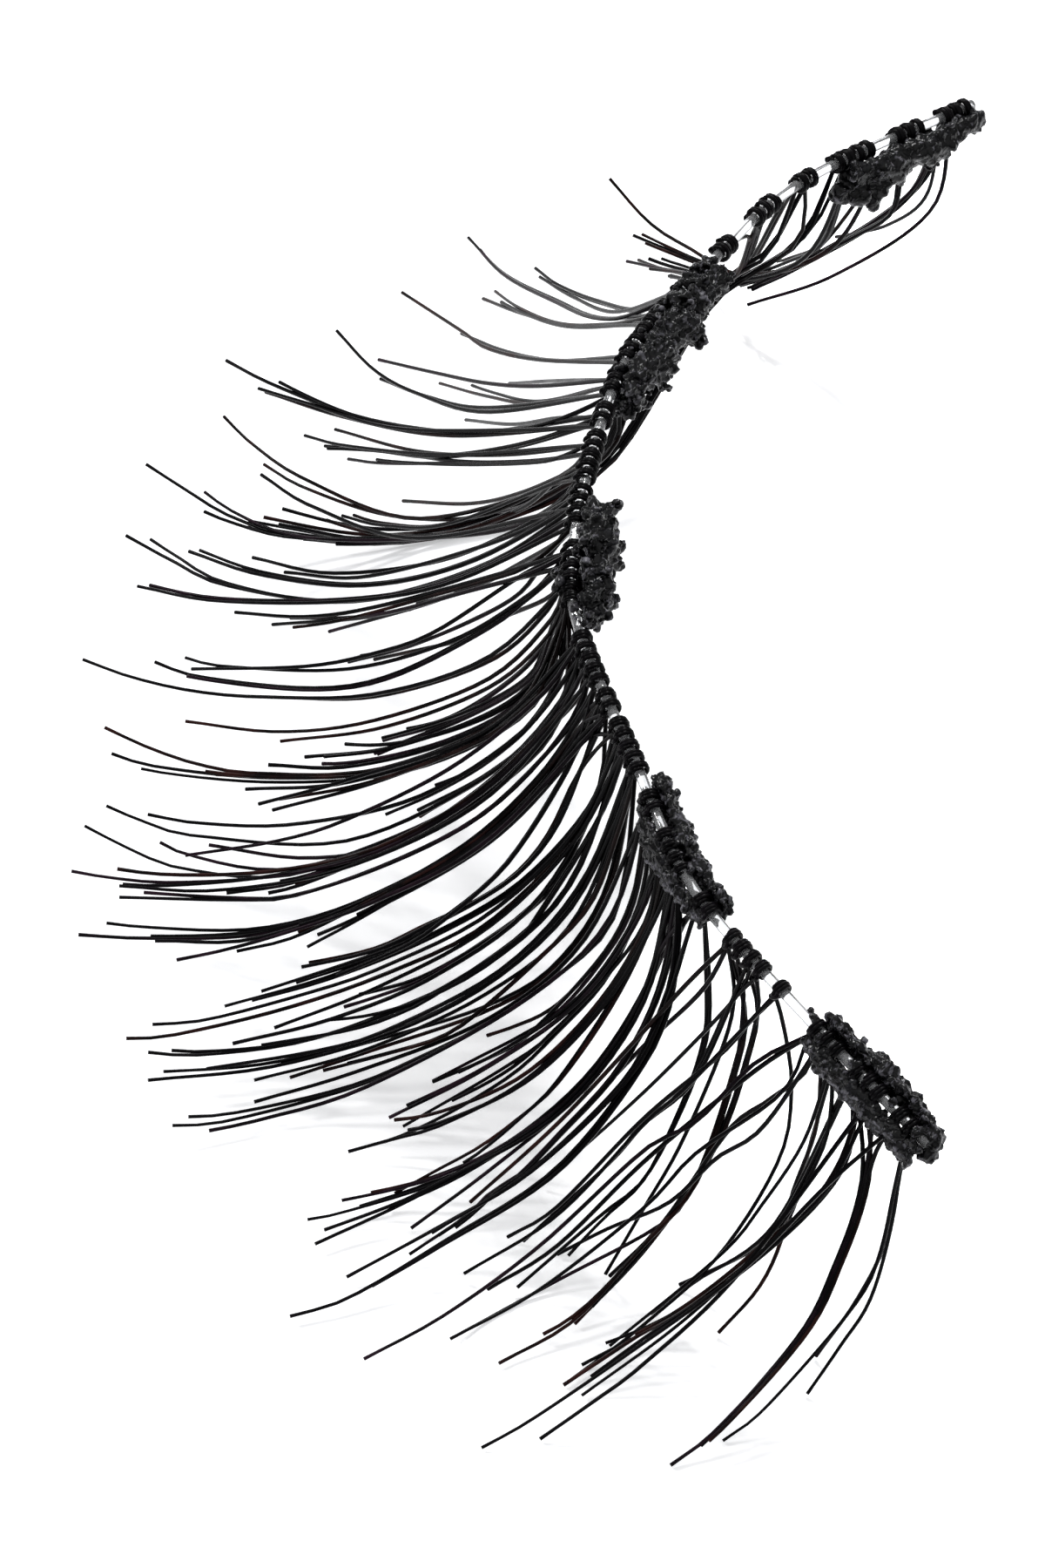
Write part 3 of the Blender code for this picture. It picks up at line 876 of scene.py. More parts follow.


# Read on enlargements of the photograph: the tip, the way towards the band, and the root.
STRANDS = (
    Strand(1, (858, 350), ((960, 315), (1070, 240)), (1098, 140)),
    Strand(1, (960, 272), ((1020, 258), (1065, 222)), (1085, 140)),
    Strand(1, (700, 205), ((745, 255), (790, 284), (860, 318), (940, 285)), (1045, 165)),
    Strand(2, (727, 270), ((770, 288), (815, 305), (870, 316), (960, 280)), (1030, 165)),
    Strand(2, (745, 297), ((775, 307), (850, 322), (930, 290)), (985, 185)),
    Strand(2, (770, 316), ((800, 322), (850, 320)), (922, 215)),
    Strand(2, (720, 300), ((780, 312), (845, 318)), (880, 250)),
    Strand(
        3,
        (285, 604),
        (
            (400, 620), (480, 618), (560, 600), (640, 572), (700, 532),
            (740, 474), (783, 400), (826, 338), (920, 277),
        ),
        (962, 200),
    ),
    Strand(
        2,
        (330, 612),
        ((430, 622), (540, 606), (650, 568), (710, 521), (741, 471), (787, 395), (829, 327), (883, 291)),
        (922, 214),
    ),
    Strand(2, (800, 322), ((840, 328), (873, 319), (920, 300), (981, 272), (1028, 238)), (1046, 165)),
    Strand(2, (770, 318), ((831, 325), (859, 291)), (878, 246)),
    Strand(3, (858, 322), ((900, 308), (950, 285), (1010, 250), (1060, 205)), (1100, 138)),
    Strand(2, (850, 328), ((890, 316), (940, 292), (1000, 258), (1050, 215)), (1080, 142)),
    Strand(2, (862, 316), ((905, 300), (950, 272)), (985, 186)),
    Strand(1, (615, 308), ((645, 330), (690, 348), (740, 356)), (800, 318)),
    Strand(1, (538, 273), ((580, 315), (640, 345), (690, 365)), (775, 345)),
    Strand(1, (620, 318), ((660, 342), (710, 358)), (790, 325)),
    Strand(2, (555, 343), ((600, 360), (660, 374)), (755, 365)),
    Strand(1, (462, 336), ((530, 380), (560, 400), (620, 413)), (720, 408)),
    Strand(1, (530, 383), ((580, 403), (640, 414)), (725, 405)),
    Strand(1, (435, 413), ((500, 428), (560, 440), (620, 443)), (710, 430)),
    Strand(1, (387, 380), ((430, 425), (480, 452), (560, 473)), (702, 448)),
    Strand(1, (437, 435), ((490, 455), (560, 468)), (700, 455)),
    Strand(1, (505, 440), ((560, 455), (620, 463)), (706, 440)),
    Strand(1, (585, 440), ((640, 437),), (712, 425)),
    Strand(1, (535, 482), ((590, 487), (640, 480)), (690, 470)),
    Strand(2, (260, 414), ((310, 440), (400, 475), (480, 492), (560, 496)), (697, 462)),
    Strand(1, (297, 446), ((350, 462), (450, 491), (580, 494)), (692, 478)),
    Strand(1, (305, 450), ((400, 480), (520, 500)), (690, 480)),
    Strand(1, (350, 500), ((400, 512), (520, 522)), (684, 500)),
    Strand(2, (373, 512), ((430, 517), (500, 525), (590, 514)), (685, 490)),
    Strand(1, (385, 493), ((480, 518), (580, 522)), (682, 505)),
    Strand(2, (400, 527), ((450, 532), (600, 530)), (680, 510)),
    Strand(1, (257, 478), ((290, 510), (350, 550), (470, 595), (600, 570)), (680, 520)),
    Strand(1, (303, 533), ((350, 560), (450, 592), (560, 590)), (679, 530)),
    Strand(1, (463, 575), ((540, 578), (600, 565)), (678, 525)),
    Strand(1, (393, 592), ((440, 603), (520, 600)), (675, 540)),
    Strand(3, (168, 533), ((210, 560), (270, 595), (360, 618), (560, 610), (640, 580)), (676, 535)),
    Strand(4, (285, 598), ((400, 617), (480, 615), (560, 597), (640, 560), (700, 510)), (724, 408)),
    Strand(2, (320, 602), ((430, 620), (540, 606), (650, 556), (708, 505)), (716, 420)),
    Strand(1, (300, 545), ((360, 582), (480, 618)), (668, 575)),
    Strand(2, (145, 615), ((200, 645), (260, 672), (400, 690), (540, 655)), (665, 585)),
    Strand(2, (217, 633), ((300, 660), (420, 672), (540, 645)), (667, 580)),
    Strand(1, (290, 640), ((380, 658), (500, 645), (590, 610)), (670, 565)),
    Strand(1, (327, 657), ((420, 662), (560, 625)), (669, 572)),
    Strand(2, (158, 673), ((250, 690), (400, 690), (520, 668)), (663, 600)),
    Strand(2, (270, 703), ((350, 708), (430, 697), (570, 660)), (658, 635)),
    Strand(2, (313, 717), ((430, 707), (540, 678)), (657, 645)),
    Strand(1, (378, 725), ((500, 690), (600, 650)), (658, 625)),
    Strand(1, (95, 757), ((150, 777), (220, 793), (300, 800), (430, 797), (560, 755)), (657, 668)),
    Strand(2, (178, 760), ((230, 777), (360, 790), (450, 775), (560, 720), (615, 680)), (656, 640)),
    Strand(1, (213, 755), ((260, 765), (400, 768), (520, 735), (600, 688)), (656, 645)),
    Strand(1, (220, 768), ((350, 765), (430, 750), (500, 725), (600, 660)), (656, 625)),
    Strand(1, (300, 800), ((430, 800), (560, 760), (625, 705)), (656, 655)),
    Strand(1, (213, 828), ((320, 840), (430, 827), (560, 780), (630, 715)), (657, 660)),
    Strand(1, (322, 851), ((440, 835), (560, 790), (625, 735)), (657, 675)),
    Strand(3, (350, 869), ((450, 858), (560, 820), (615, 780), (643, 730)), (657, 682)),
    Strand(2, (308, 878), ((400, 880), (520, 850), (610, 795)), (658, 690)),
    Strand(1, (120, 835), ((170, 858), (230, 878), (300, 888), (440, 882), (590, 815)), (660, 698)),
    Strand(4, (128, 865), ((180, 880), (310, 893), (450, 885), (560, 845), (625, 790)), (659, 695)),
    Strand(1, (282, 906), ((400, 898), (540, 852), (625, 785)), (665, 720)),
    Strand(1, (297, 923), ((400, 895), (560, 838)), (667, 728)),
    Strand(2, (313, 930), ((440, 895), (580, 835), (640, 770)), (664, 715)),
    Strand(3, (443, 935), ((500, 910), (560, 875), (610, 830), (642, 775)), (658, 692)),
    Strand(2, (440, 850), ((520, 825), (600, 770), (640, 715)), (658, 670)),
    Strand(1, (170, 935), ((230, 945), (340, 946), (480, 915), (600, 840)), (672, 740)),
    Strand(1, (122, 925), ((170, 945), (230, 960), (400, 965), (560, 890), (640, 810)), (676, 750)),
    Strand(
        2,
        (97, 948),
        ((150, 975), (210, 997), (330, 1005), (470, 955), (560, 903), (640, 820)),
        (674, 745),
    ),
    Strand(1, (213, 982), ((320, 965), (400, 940), (520, 880), (620, 800)), (670, 735)),
    Strand(1, (240, 970), ((350, 985), (450, 968), (560, 898), (640, 815)), (680, 760)),
    Strand(
        3,
        (82, 1000),
        ((130, 1008), (200, 1013), (320, 1005), (440, 975), (560, 905), (645, 815)),
        (678, 755),
    ),
    Strand(1, (137, 1017), ((250, 1022), (400, 995), (560, 915)), (684, 770)),
    Strand(2, (137, 1030), ((270, 1033), (340, 1028), (460, 985), (560, 930), (650, 840)), (688, 780)),
    Strand(
        5,
        (260, 1025),
        ((330, 1015), (400, 990), (470, 960), (560, 908), (625, 850), (652, 790)),
        (670, 735),
    ),
    Strand(3, (272, 1092), ((340, 1075), (430, 1030), (540, 965), (620, 890), (668, 820)), (692, 788)),
    Strand(
        3,
        (90, 1073),
        ((170, 1077), (300, 1072), (420, 1035), (560, 960), (630, 890), (675, 825)),
        (700, 808),
    ),
    Strand(1, (178, 1080), ((300, 1076), (480, 1010), (600, 925), (668, 845)), (702, 812)),
    Strand(1, (203, 1102), ((260, 1090), (330, 1070), (430, 1035), (560, 965)), (706, 822)),
    Strand(3, (353, 1087), ((430, 1045), (560, 965), (640, 885), (675, 830)), (695, 795)),
    Strand(2, (400, 760), ((470, 742), (540, 713), (593, 684), (620, 652)), (658, 600)),
    Strand(1, (430, 757), ((540, 732), (567, 713), (628, 687)), (657, 650)),
    Strand(3, (430, 865), ((540, 820), (607, 780), (628, 740)), (657, 665)),
    Strand(2, (470, 700), ((540, 676), (593, 649), (647, 617)), (664, 585)),
    Strand(2, (520, 612), ((600, 583), (639, 550), (665, 530)), (682, 490)),
    Strand(2, (480, 930), ((560, 888), (647, 820), (673, 780)), (664, 715)),
    Strand(
        3,
        (340, 1128),
        ((433, 1097), (491, 1065), (541, 1039), (593, 1004), (633, 956), (665, 887)),
        (696, 815),
    ),
    Strand(
        2,
        (300, 1138),
        ((389, 1109), (462, 1083), (506, 1056), (565, 1009), (607, 956), (655, 876)),
        (692, 800),
    ),
    Strand(
        2,
        (395, 1156),
        ((433, 1144), (491, 1121), (579, 1065), (611, 1039), (640, 1009), (690, 905)),
        (706, 850),
    ),
    Strand(
        2,
        (300, 1200),
        ((403, 1182), (462, 1162), (506, 1138), (594, 1077), (623, 1042), (690, 935)),
        (716, 868),
    ),
    Strand(
        2,
        (371, 1229),
        ((447, 1209), (506, 1191), (550, 1162), (623, 1097), (679, 1036), (711, 951)),
        (728, 890),
    ),
    Strand(2, (497, 1241), ((553, 1212), (594, 1191), (640, 1162), (690, 1105), (727, 1040)), (744, 948)),
    Strand(
        2,
        (441, 1311),
        ((477, 1297), (535, 1267), (594, 1229), (640, 1185), (695, 1125), (732, 1050)),
        (752, 950),
    ),
    Strand(
        2,
        (453, 1370),
        ((506, 1341), (550, 1317), (594, 1285), (640, 1244), (700, 1159), (743, 1073)),
        (768, 980),
    ),
    Strand(
        3,
        (470, 1440),
        ((535, 1396), (565, 1367), (594, 1350), (640, 1303), (710, 1225), (757, 1130)),
        (786, 1010),
    ),
    Strand(2, (258, 1155), ((380, 1120), (500, 1070), (600, 1010), (680, 920)), (708, 835)),
    Strand(1, (175, 1176), ((240, 1170), (360, 1138), (440, 1110), (560, 1050), (660, 955)), (712, 845)),
    Strand(1, (145, 1192), ((200, 1188), (330, 1157), (450, 1115), (560, 1060), (665, 955)), (714, 850)),
    Strand(1, (315, 1180), ((430, 1135), (560, 1065), (660, 965)), (716, 855)),
    Strand(1, (267, 1198), ((380, 1170), (500, 1120), (620, 1030)), (718, 858)),
    Strand(2, (170, 1208), ((230, 1211), (350, 1195), (470, 1152), (560, 1105), (650, 1020)), (720, 864)),
    Strand(1, (237, 1227), ((370, 1205), (450, 1180), (580, 1110), (670, 1010)), (724, 872)),
    Strand(2, (170, 1240), ((310, 1225), (450, 1185), (560, 1130), (650, 1050), (700, 960)), (728, 882)),
    Strand(1, (292, 1240), ((420, 1205), (560, 1140), (660, 1055)), (732, 890)),
    Strand(2, (333, 1237), ((430, 1205), (560, 1160), (640, 1110), (700, 1020)), (736, 900)),
    Strand(1, (292, 1265), ((410, 1230), (560, 1170), (670, 1080)), (739, 906)),
    Strand(
        2,
        (198, 1292),
        ((260, 1287), (400, 1250), (480, 1215), (560, 1175), (640, 1120), (700, 1060)),
        (742, 912),
    ),
    Strand(1, (240, 1298), ((300, 1285), (420, 1248), (600, 1150), (700, 1055)), (746, 920)),
    Strand(1, (497, 1242), ((560, 1215), (610, 1185), (700, 1085), (735, 1000)), (750, 930)),
    Strand(3, (447, 1283), ((560, 1225), (670, 1145), (740, 1040)), (762, 958)),
    Strand(1, (463, 1293), ((580, 1225), (640, 1180), (735, 1070)), (758, 948)),
    Strand(3, (400, 1322), ((450, 1308), (510, 1290), (610, 1235), (700, 1140), (755, 1040)), (770, 975)),
    Strand(3, (353, 1400), ((400, 1390), (520, 1350), (640, 1275), (700, 1210), (745, 1130)), (780, 995)),
    Strand(2, (413, 1385), ((500, 1355), (600, 1300), (690, 1215), (760, 1090)), (776, 988)),
    Strand(2, (362, 1428), ((460, 1383), (510, 1355), (640, 1275), (730, 1160)), (788, 1012)),
    Strand(1, (472, 1410), ((560, 1345), (650, 1270), (720, 1185), (765, 1080)), (784, 1003)),
    Strand(2, (398, 1466), ((510, 1405), (610, 1345), (720, 1240), (766, 1150)), (793, 1022)),
    Strand(2, (333, 1511), ((400, 1490), (510, 1425), (640, 1340), (740, 1212), (778, 1110)), (798, 1035)),
    Strand(1, (583, 1420), ((640, 1385), (740, 1283), (828, 1210), (860, 1174)), (887, 1138)),
    Strand(1, (601, 1425), ((700, 1335), (740, 1290), (800, 1236)), (840, 1113)),
    Strand(1, (533, 1462), ((640, 1395), (740, 1290), (784, 1252), (850, 1184)), (890, 1138)),
    Strand(1, (594, 1478), ((690, 1395), (740, 1353), (787, 1265), (812, 1190), (815, 1133)), (804, 1050)),
    Strand(1, (418, 1560), ((510, 1510), (620, 1430), (740, 1320), (798, 1289), (866, 1221)), (922, 1170)),
    Strand(1, (517, 1537), ((620, 1480), (740, 1386), (799, 1324), (898, 1254)), (930, 1180)),
    Strand(1, (530, 1530), ((640, 1470), (763, 1403), (799, 1353), (840, 1248), (854, 1148)), (851, 1092)),
    Strand(1, (695, 1463), ((740, 1386), (781, 1315), (828, 1207), (843, 1145)), (843, 1082)),
    Strand(2, (573, 1565), ((660, 1515), (740, 1427), (799, 1353), (850, 1200), (853, 1148)), (856, 1096)),
    Strand(1, (660, 1520), ((745, 1430), (825, 1312), (862, 1207), (870, 1157)), (866, 1106)),
    Strand(1, (650, 1588), ((740, 1520), (828, 1438), (895, 1330), (909, 1250), (901, 1183)), (893, 1138)),
    Strand(1, (640, 1440), ((699, 1410), (769, 1380), (822, 1330), (875, 1295)), (948, 1195)),
    Strand(1, (700, 1465), ((760, 1405), (837, 1297), (880, 1265), (925, 1230)), (940, 1185)),
    Strand(1, (560, 1480), ((640, 1430), (740, 1333), (843, 1248), (890, 1213)), (930, 1172)),
    Strand(1, (540, 1380), ((640, 1290), (740, 1183), (790, 1128)), (838, 1070)),
    Strand(1, (600, 1345), ((680, 1262), (740, 1200), (807, 1136)), (846, 1080)),
    Strand(1, (620, 1360), ((700, 1290), (769, 1225), (845, 1145)), (868, 1108)),
    Strand(1, (825, 1530), ((870, 1480), (895, 1430), (910, 1370), (938, 1290)), (948, 1195)),
    Strand(1, (700, 1545), ((828, 1440), (875, 1383), (919, 1318), (940, 1265)), (955, 1200)),
    Strand(2, (647, 1590), ((730, 1535), (860, 1450), (960, 1350)), (1000, 1245)),
    Strand(2, (668, 1567), ((780, 1505), (890, 1410)), (985, 1230)),
    Strand(2, (668, 1602), ((780, 1520), (880, 1430), (950, 1365)), (1012, 1262)),
    Strand(1, (747, 1508), ((800, 1470), (890, 1405)), (975, 1218)),
    Strand(1, (780, 1475), ((855, 1440), (904, 1403), (931, 1312)), (962, 1205)),
    Strand(1, (553, 1662), ((610, 1630), (720, 1555), (850, 1460), (950, 1360)), (1020, 1272)),
    Strand(1, (620, 1652), ((680, 1610), (740, 1565), (850, 1460)), (1005, 1252)),
    Strand(4, (770, 1682), ((824, 1640), (922, 1530), (962, 1450), (990, 1370)), (1005, 1250)),
    Strand(1, (830, 1654), ((880, 1615), (980, 1500), (1010, 1440), (1028, 1360)), (1045, 1298)),
    Strand(1, (937, 1557), ((985, 1490), (1018, 1420)), (1050, 1304)),
    Strand(1, (927, 1600), ((965, 1545), (1000, 1490), (1025, 1400)), (1040, 1290)),
)


def smooth(points: Sequence[Vector], steps: int) -> list[Vector]:
    """A Catmull-Rom curve through points.

    Args:
        points: The points, flat or in space.
        steps: How many steps each stretch is cut into.

    Returns:
        The curve's points.
    """
    ends = [points[0] * 2 - points[1], *points, points[-1] * 2 - points[-2]]
    path = []
    for before, start, stop, after in zip(ends, ends[1:], ends[2:], ends[3:]):
        for i in range(steps):
            t = i / steps
            straight = 2 * start + (stop - before) * t
            bend = (2 * before - 5 * start + 4 * stop - after) * t**2
            turn = (3 * start - before - 3 * stop + after) * t**3
            path.append(0.5 * (straight + bend + turn))
    return [*path, points[-1].copy()]


def spread(path: Sequence[Vector], count: int) -> list[Vector]:
    """Evenly spaced points of a path.

    Args:
        path: The path.
        count: How many points are wanted.

    Returns:
        The points, ends included.
    """
    reach = [0.0]
    for near, far in zip(path, path[1:]):
        reach.append(reach[-1] + (far - near).length)
    even = []
    at = 0
    for i in range(count):
        wanted = reach[-1] * i / (count - 1)
        while at < len(path) - 2 and reach[at + 1] < wanted:
            at += 1
        part = (wanted - reach[at]) / max(reach[at + 1] - reach[at], SHORTEST_STEP)
        even.append(path[at].lerp(path[at + 1], clamp(part)))
    return even


def strain(line: Sequence[Vector]) -> float:
    """How far a line is from an even curl in an upright plane.

    Args:
        line: The line's points, from root to tip.

    Returns:
        The sum of its squared turns, plus what its distances from the upright plane through its ends cost.
    """
    turns = 0.0
    for before, here, after in zip(line, line[1:], line[2:]):
        turns += (here - before).angle(after - here, 0.0) ** 2
    chord = line[-1] - line[0]
    across = chord.cross(UP).normalized()
    aside = sum((point - line[0]).dot(across) ** 2 for point in line) / (len(line) * chord.length_squared)
    return turns + PLANE_WEIGHT * aside


def read_line(root: Vector, strand: Strand, height: float, camera: PhotoCamera) -> list[Vector]:
    """Works a hair's line out from what the photograph shows of it.

    The pixels on the hair's way are cast down to heights that fall from its root to its tip as an arc's
    would. Of several arcs it takes the one that strains the hair least.

    Args:
        root: Where the hair leaves its knot.
        strand: The strand that it belongs to.
        height: The height of its tip.
        camera: The photograph's camera.

    Returns:
        The line's points from root to tip.
    """
    way = [camera.see(root), *(Vector(pixel) for pixel in reversed(strand.via)), Vector(strand.tip)]
    pixels = spread(smooth(way, WAY_STEPS), HAIR_POINTS)
    best: tuple[float, list[Vector]] = (math.inf, [])
    for entry in ENTRY_ANGLES:
        for leave in LEAVE_ANGLES:
            start, stop = math.radians(entry), math.radians(leave)
            line = []
            for i, pixel in enumerate(pixels):
                slope = mix(start, stop, i / (HAIR_POINTS - 1))
                fallen = (math.cos(slope) - math.cos(start)) / (math.cos(stop) - math.cos(start))
                line.append(camera.cast(pixel, mix(root.z, height, fallen)))
            if min(point.z for point in line) < FLOOR_GAP:
                continue
            cost = strain(line)
            if cost < best[0]:
                best = (cost, line)
    return best[1]


@dataclass
class Lashes:
    """The hairs and their hitch knots, grouped on the band."""

    band: Band
    camera: PhotoCamera
    materials: dict[HairTone, bpy.types.Material]
    wire: float = 0.10 * MM
    wrap_radius: float = 0.040 * MM
    wrap_turns: float = 2.9
    wrap_points: int = 13
    wrap_reach: float = 1.06
    wrap_margin: float = 2.2
    wrap_swell: float = 0.16
    tuck_share: float = 0.12
    tuck_depth: float = 0.62
    tuck_girth: float = 0.4
    ring_pitch: float = 0.27 * MM
    bar_points: int = 14
    bar_place: Range = (185.0, 235.0)
    bar_sweep: float = 48.0
    bar_sink: float = 0.6
    bar_lift: float = 2.2
    bar_fullness: float = 0.6
    bar_run: float = 0.30
    root_radius: float = 0.046 * MM
    tip_radius: float = 0.033 * MM
    root_play: float = 0.25
    root_drop: float = 1.6
    root_seat: float = 1.2
    girth: Range = (0.88, 1.06)
    taper: float = 1.5
    cut_flare: float = 1.12
    mate_length: Range = (0.80, 0.985)
    mate_gap: Range = (0.045, 0.085)
    mate_rise: Range = (-0.05, 0.08)
    mate_part: Range = (-0.30, 0.30)
    mate_lift: Range = (-0.02, 0.14)
    join_share: float = 0.22
    fork_start: float = 0.45
    floor_share: float = 1.1
    least_legs: Steps = ((0.0, 2.0), (0.66, 2.0), (0.67, 1.0), (0.84, 1.0), (0.85, 2.0))
    tip_heights: Steps = (
        (0.0, 0.06),
        (0.17, 0.12),
        (0.26, 0.30),
        (0.34, 1.20),
        (0.42, 1.90),
        (0.52, 1.70),
        (0.62, 1.40),
        (0.75, 0.90),
        (1.0, 0.70),
    )
    tones: tuple[tuple[HairTone, float], ...] = (
        (HairTone.RAVEN, 0.62),
        (HairTone.UMBER, 0.20),
        (HairTone.PLUM, 0.18),
    )

    def make(self) -> list[bpy.types.Object]:
        """Makes each group's knots and hairs as one piece.

        Returns:
            The pieces.
        """
        rings = [self._ring_place(knots, i) for knots in KNOTS for i in range(knots.rings)]
        hairs = self._hairs(rings)
        made = []
        first = 0
        for number, knots in enumerate(KNOTS, 1):
            draw = random.Random(SEED * PIECE_SEEDS + number)
            fibres = []
            for place in rings[first:first + knots.rings]:
                fibres += [self._coil(place, draw), self._bar(place, draw)]
            for at in range(first, first + knots.rings):
                fibres += hairs[at]
            first += knots.rings
            piece = FibreMesh(f"lash_cluster_{number:02d}", fibres, self.materials).make()
            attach(piece, ROOT)
            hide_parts(f"hair_cluster_{number:02d}")
            made.append(piece)
            log.info("%s: %d fibres, %d faces", piece.name, len(fibres), len(piece.data.polygons))
        return made

    def _tone(self, draw: random.Random) -> HairTone:
        """Draws a tone by its share.

        Args:
            draw: The source of chance.

        Returns:
            The tone.
        """
        names = [tone for tone, _ in self.tones]
        weights = [weight for _, weight in self.tones]
        return draw.choices(names, weights)[0]

    def _ring_place(self, knots: Knots, ring: int) -> float:
        """The place of a ring's middle, as a share of the band's length."""
        return knots.place + (ring - 0.5 * (knots.rings - 1)) * self.ring_pitch / self.band.length

    def _coil(self, place: float, draw: random.Random) -> Fibre:
        """A hair wound round the filament, as one ring of a hitch, with its ends tucked in.

        Args:
            place: The ring's place, as a share of the band's length.
            draw: The source of chance.

        Returns:
            The wound fibre.
        """
        axes = self.band.axes(place)
        centre = self.band.point(place)
        phase = draw.uniform(0.0, 2.0 * math.pi)
        reach = self.wire + self.wrap_radius * self.wrap_reach
        steps = round(self.wrap_points * self.wrap_turns)
        width = self.ring_pitch - self.wrap_margin * self.wrap_radius
        points = []
        radii = []
        for i in range(steps + 1):
            share = i / steps
            angle = phase + 2.0 * math.pi * self.wrap_turns * share
            tuck = 1.0 - clamp(abs(share - 0.5) * 2.0 / self.tuck_share - 1.0 / self.tuck_share + 1.0)
            swell = 1.0 + self.wrap_swell * math.sin(math.pi * share)
            side = axes.lid * math.cos(angle) + axes.up * math.sin(angle)
            inward = mix(self.tuck_depth, 1.0, tuck)
            points.append(centre + axes.run * (width * (share - 0.5)) + side * reach * swell * inward)
            radii.append(self.wrap_radius * mix(self.tuck_girth, 1.0, tuck))
        return Fibre(points, radii, HairTone.RAVEN)

    def _bar(self, place: float, draw: random.Random) -> Fibre:
        """The loop of a hitch that lies across its own turns, over where the legs leave.

        Args:
            place: The ring's place, as a share of the band's length.
            draw: The source of chance.

        Returns:
            The looped fibre.
        """
        axes = self.band.axes(place)
        centre = self.band.point(place)
        around = math.radians(draw.uniform(*self.bar_place))
        sweep = math.radians(self.bar_sweep)
        low = self.wire + self.bar_sink * self.wrap_radius
        points = []
        for i in range(self.bar_points + 1):
            turn = math.pi * (i / self.bar_points)
            angle = around + sweep * math.cos(turn)
            lift = low + self.bar_lift * self.wrap_radius * math.sin(turn) ** self.bar_fullness
            side = axes.lid * math.cos(angle) + axes.up * math.sin(angle)
            run = axes.run * (self.bar_run * self.ring_pitch * math.sin(2.0 * turn))
            points.append(centre + side * lift + run)
        return Fibre(points, [self.wrap_radius] * len(points), HairTone.RAVEN)

    def _hairs(self, rings: Sequence[float]) -> list[list[Fibre]]:
        """The hairs of every ring.

        Args:
            rings: The rings' places along the band.

        Returns:
            For each ring, its hairs.
        """
        draw = random.Random(SEED)
        seen = [self.camera.see(self.band.point(place)) for place in rings]
        hairs: list[list[Fibre]] = [[] for _ in rings]
        leads = []
        for strand in STRANDS:
            spot = Vector(strand.root)
            at = min(range(len(rings)), key=lambda k: (seen[k] - spot).length)
            height = ramp(self.tip_heights, rings[at]) * MM
            toward = self.camera.cast(strand.tip, height)
            line = read_line(self._root(rings[at], toward, draw), strand, height, self.camera)
            leads.append((at, toward, line))
            hairs[at].append(self._fibre(line, draw))
            for mate in range(1, strand.hairs):
                other = at + (mate + 1) // 2 * (1 if mate % 2 else -1)
                other = max(0, min(len(rings) - 1, other))
                root = self._root(rings[other], toward, draw)
                hairs[other].append(self._fibre(self._follow(line, root, draw), draw))
        for at, place in enumerate(rings):
            while len(hairs[at]) < round(ramp(self.least_legs, place)):
                _, toward, line = min(leads, key=lambda lead: abs(lead[0] - at) + draw.random())
                root = self._root(place, toward, draw)
                hairs[at].append(self._fibre(self._follow(line, root, draw), draw))
        log.info("%d hairs", sum(len(some) for some in hairs))
        return hairs

    def _root(self, place: float, toward: Vector, draw: random.Random) -> Vector:
        """Where a hair leaves its ring.

        Args:
            place: The ring's place, as a share of the band's length.
            toward: Where the hair goes.
            draw: The source of chance.

        Returns:
            The point, just inside the ring's turns.
        """
        place += draw.uniform(-self.root_play, self.root_play) * self.ring_pitch / self.band.length
        axes = self.band.axes(place)
        centre = self.band.point(place)
        out = toward - centre
        out.z = 0.0
        out = out.normalized() - UP * self.root_drop
        out -= axes.run * out.dot(axes.run)
        return centre + out.normalized() * (self.wire + self.root_seat * self.wrap_radius)

    def _follow(self, lead: Sequence[Vector], root: Vector, draw: random.Random) -> list[Vector]:
        """The line of a hair that clings to another.

        Args:
            lead: The line that it follows.
            root: Where it leaves its own ring.
            draw: The source of chance.

        Returns:
            The line's points.
        """
        cut = draw.uniform(*self.mate_length)
        cling = draw.uniform(*self.mate_gap) * MM * draw.choice((-1.0, 1.0))
        rise = draw.uniform(*self.mate_rise) * MM
        part = draw.uniform(*self.mate_part) * MM
        lift = draw.uniform(*self.mate_lift) * MM
        last = len(lead) - 1
        line = []
        for i in range(last + 1):
            share = i / last
            at = share * cut * last
            low = min(int(at), last - 1)
            point = lead[low].lerp(lead[low + 1], at - low)
            run = (lead[low + 1] - lead[low]).normalized()
            side = run.cross(UP).normalized()
            join = (1.0 - clamp(share / self.join_share)) ** 2
            fork = clamp((share - self.fork_start) / (1.0 - self.fork_start)) ** 2
            point = point + side * (cling + part * fork) + UP * (rise + lift * fork)
            point += (root - lead[0] - side * cling - UP * rise) * join
            point.z = max(point.z, self.floor_share * self.tip_radius)
            line.append(point)
        return line

    def _fibre(self, line: list[Vector], draw: random.Random) -> Fibre:
        """A hair along a line, which thins to a blunt cut tip.

        Args:
            line: The line's points.
            draw: The source of chance.

        Returns:
            The fibre.
        """
        girth = draw.uniform(*self.girth)
        last = len(line) - 1
        radii = []
        for i in range(last + 1):
            share = i / last
            radii.append(girth * mix(self.root_radius, self.tip_radius, share**self.taper))
        radii[-1] *= self.cut_flare
        return Fibre(line, radii, self._tone(draw))


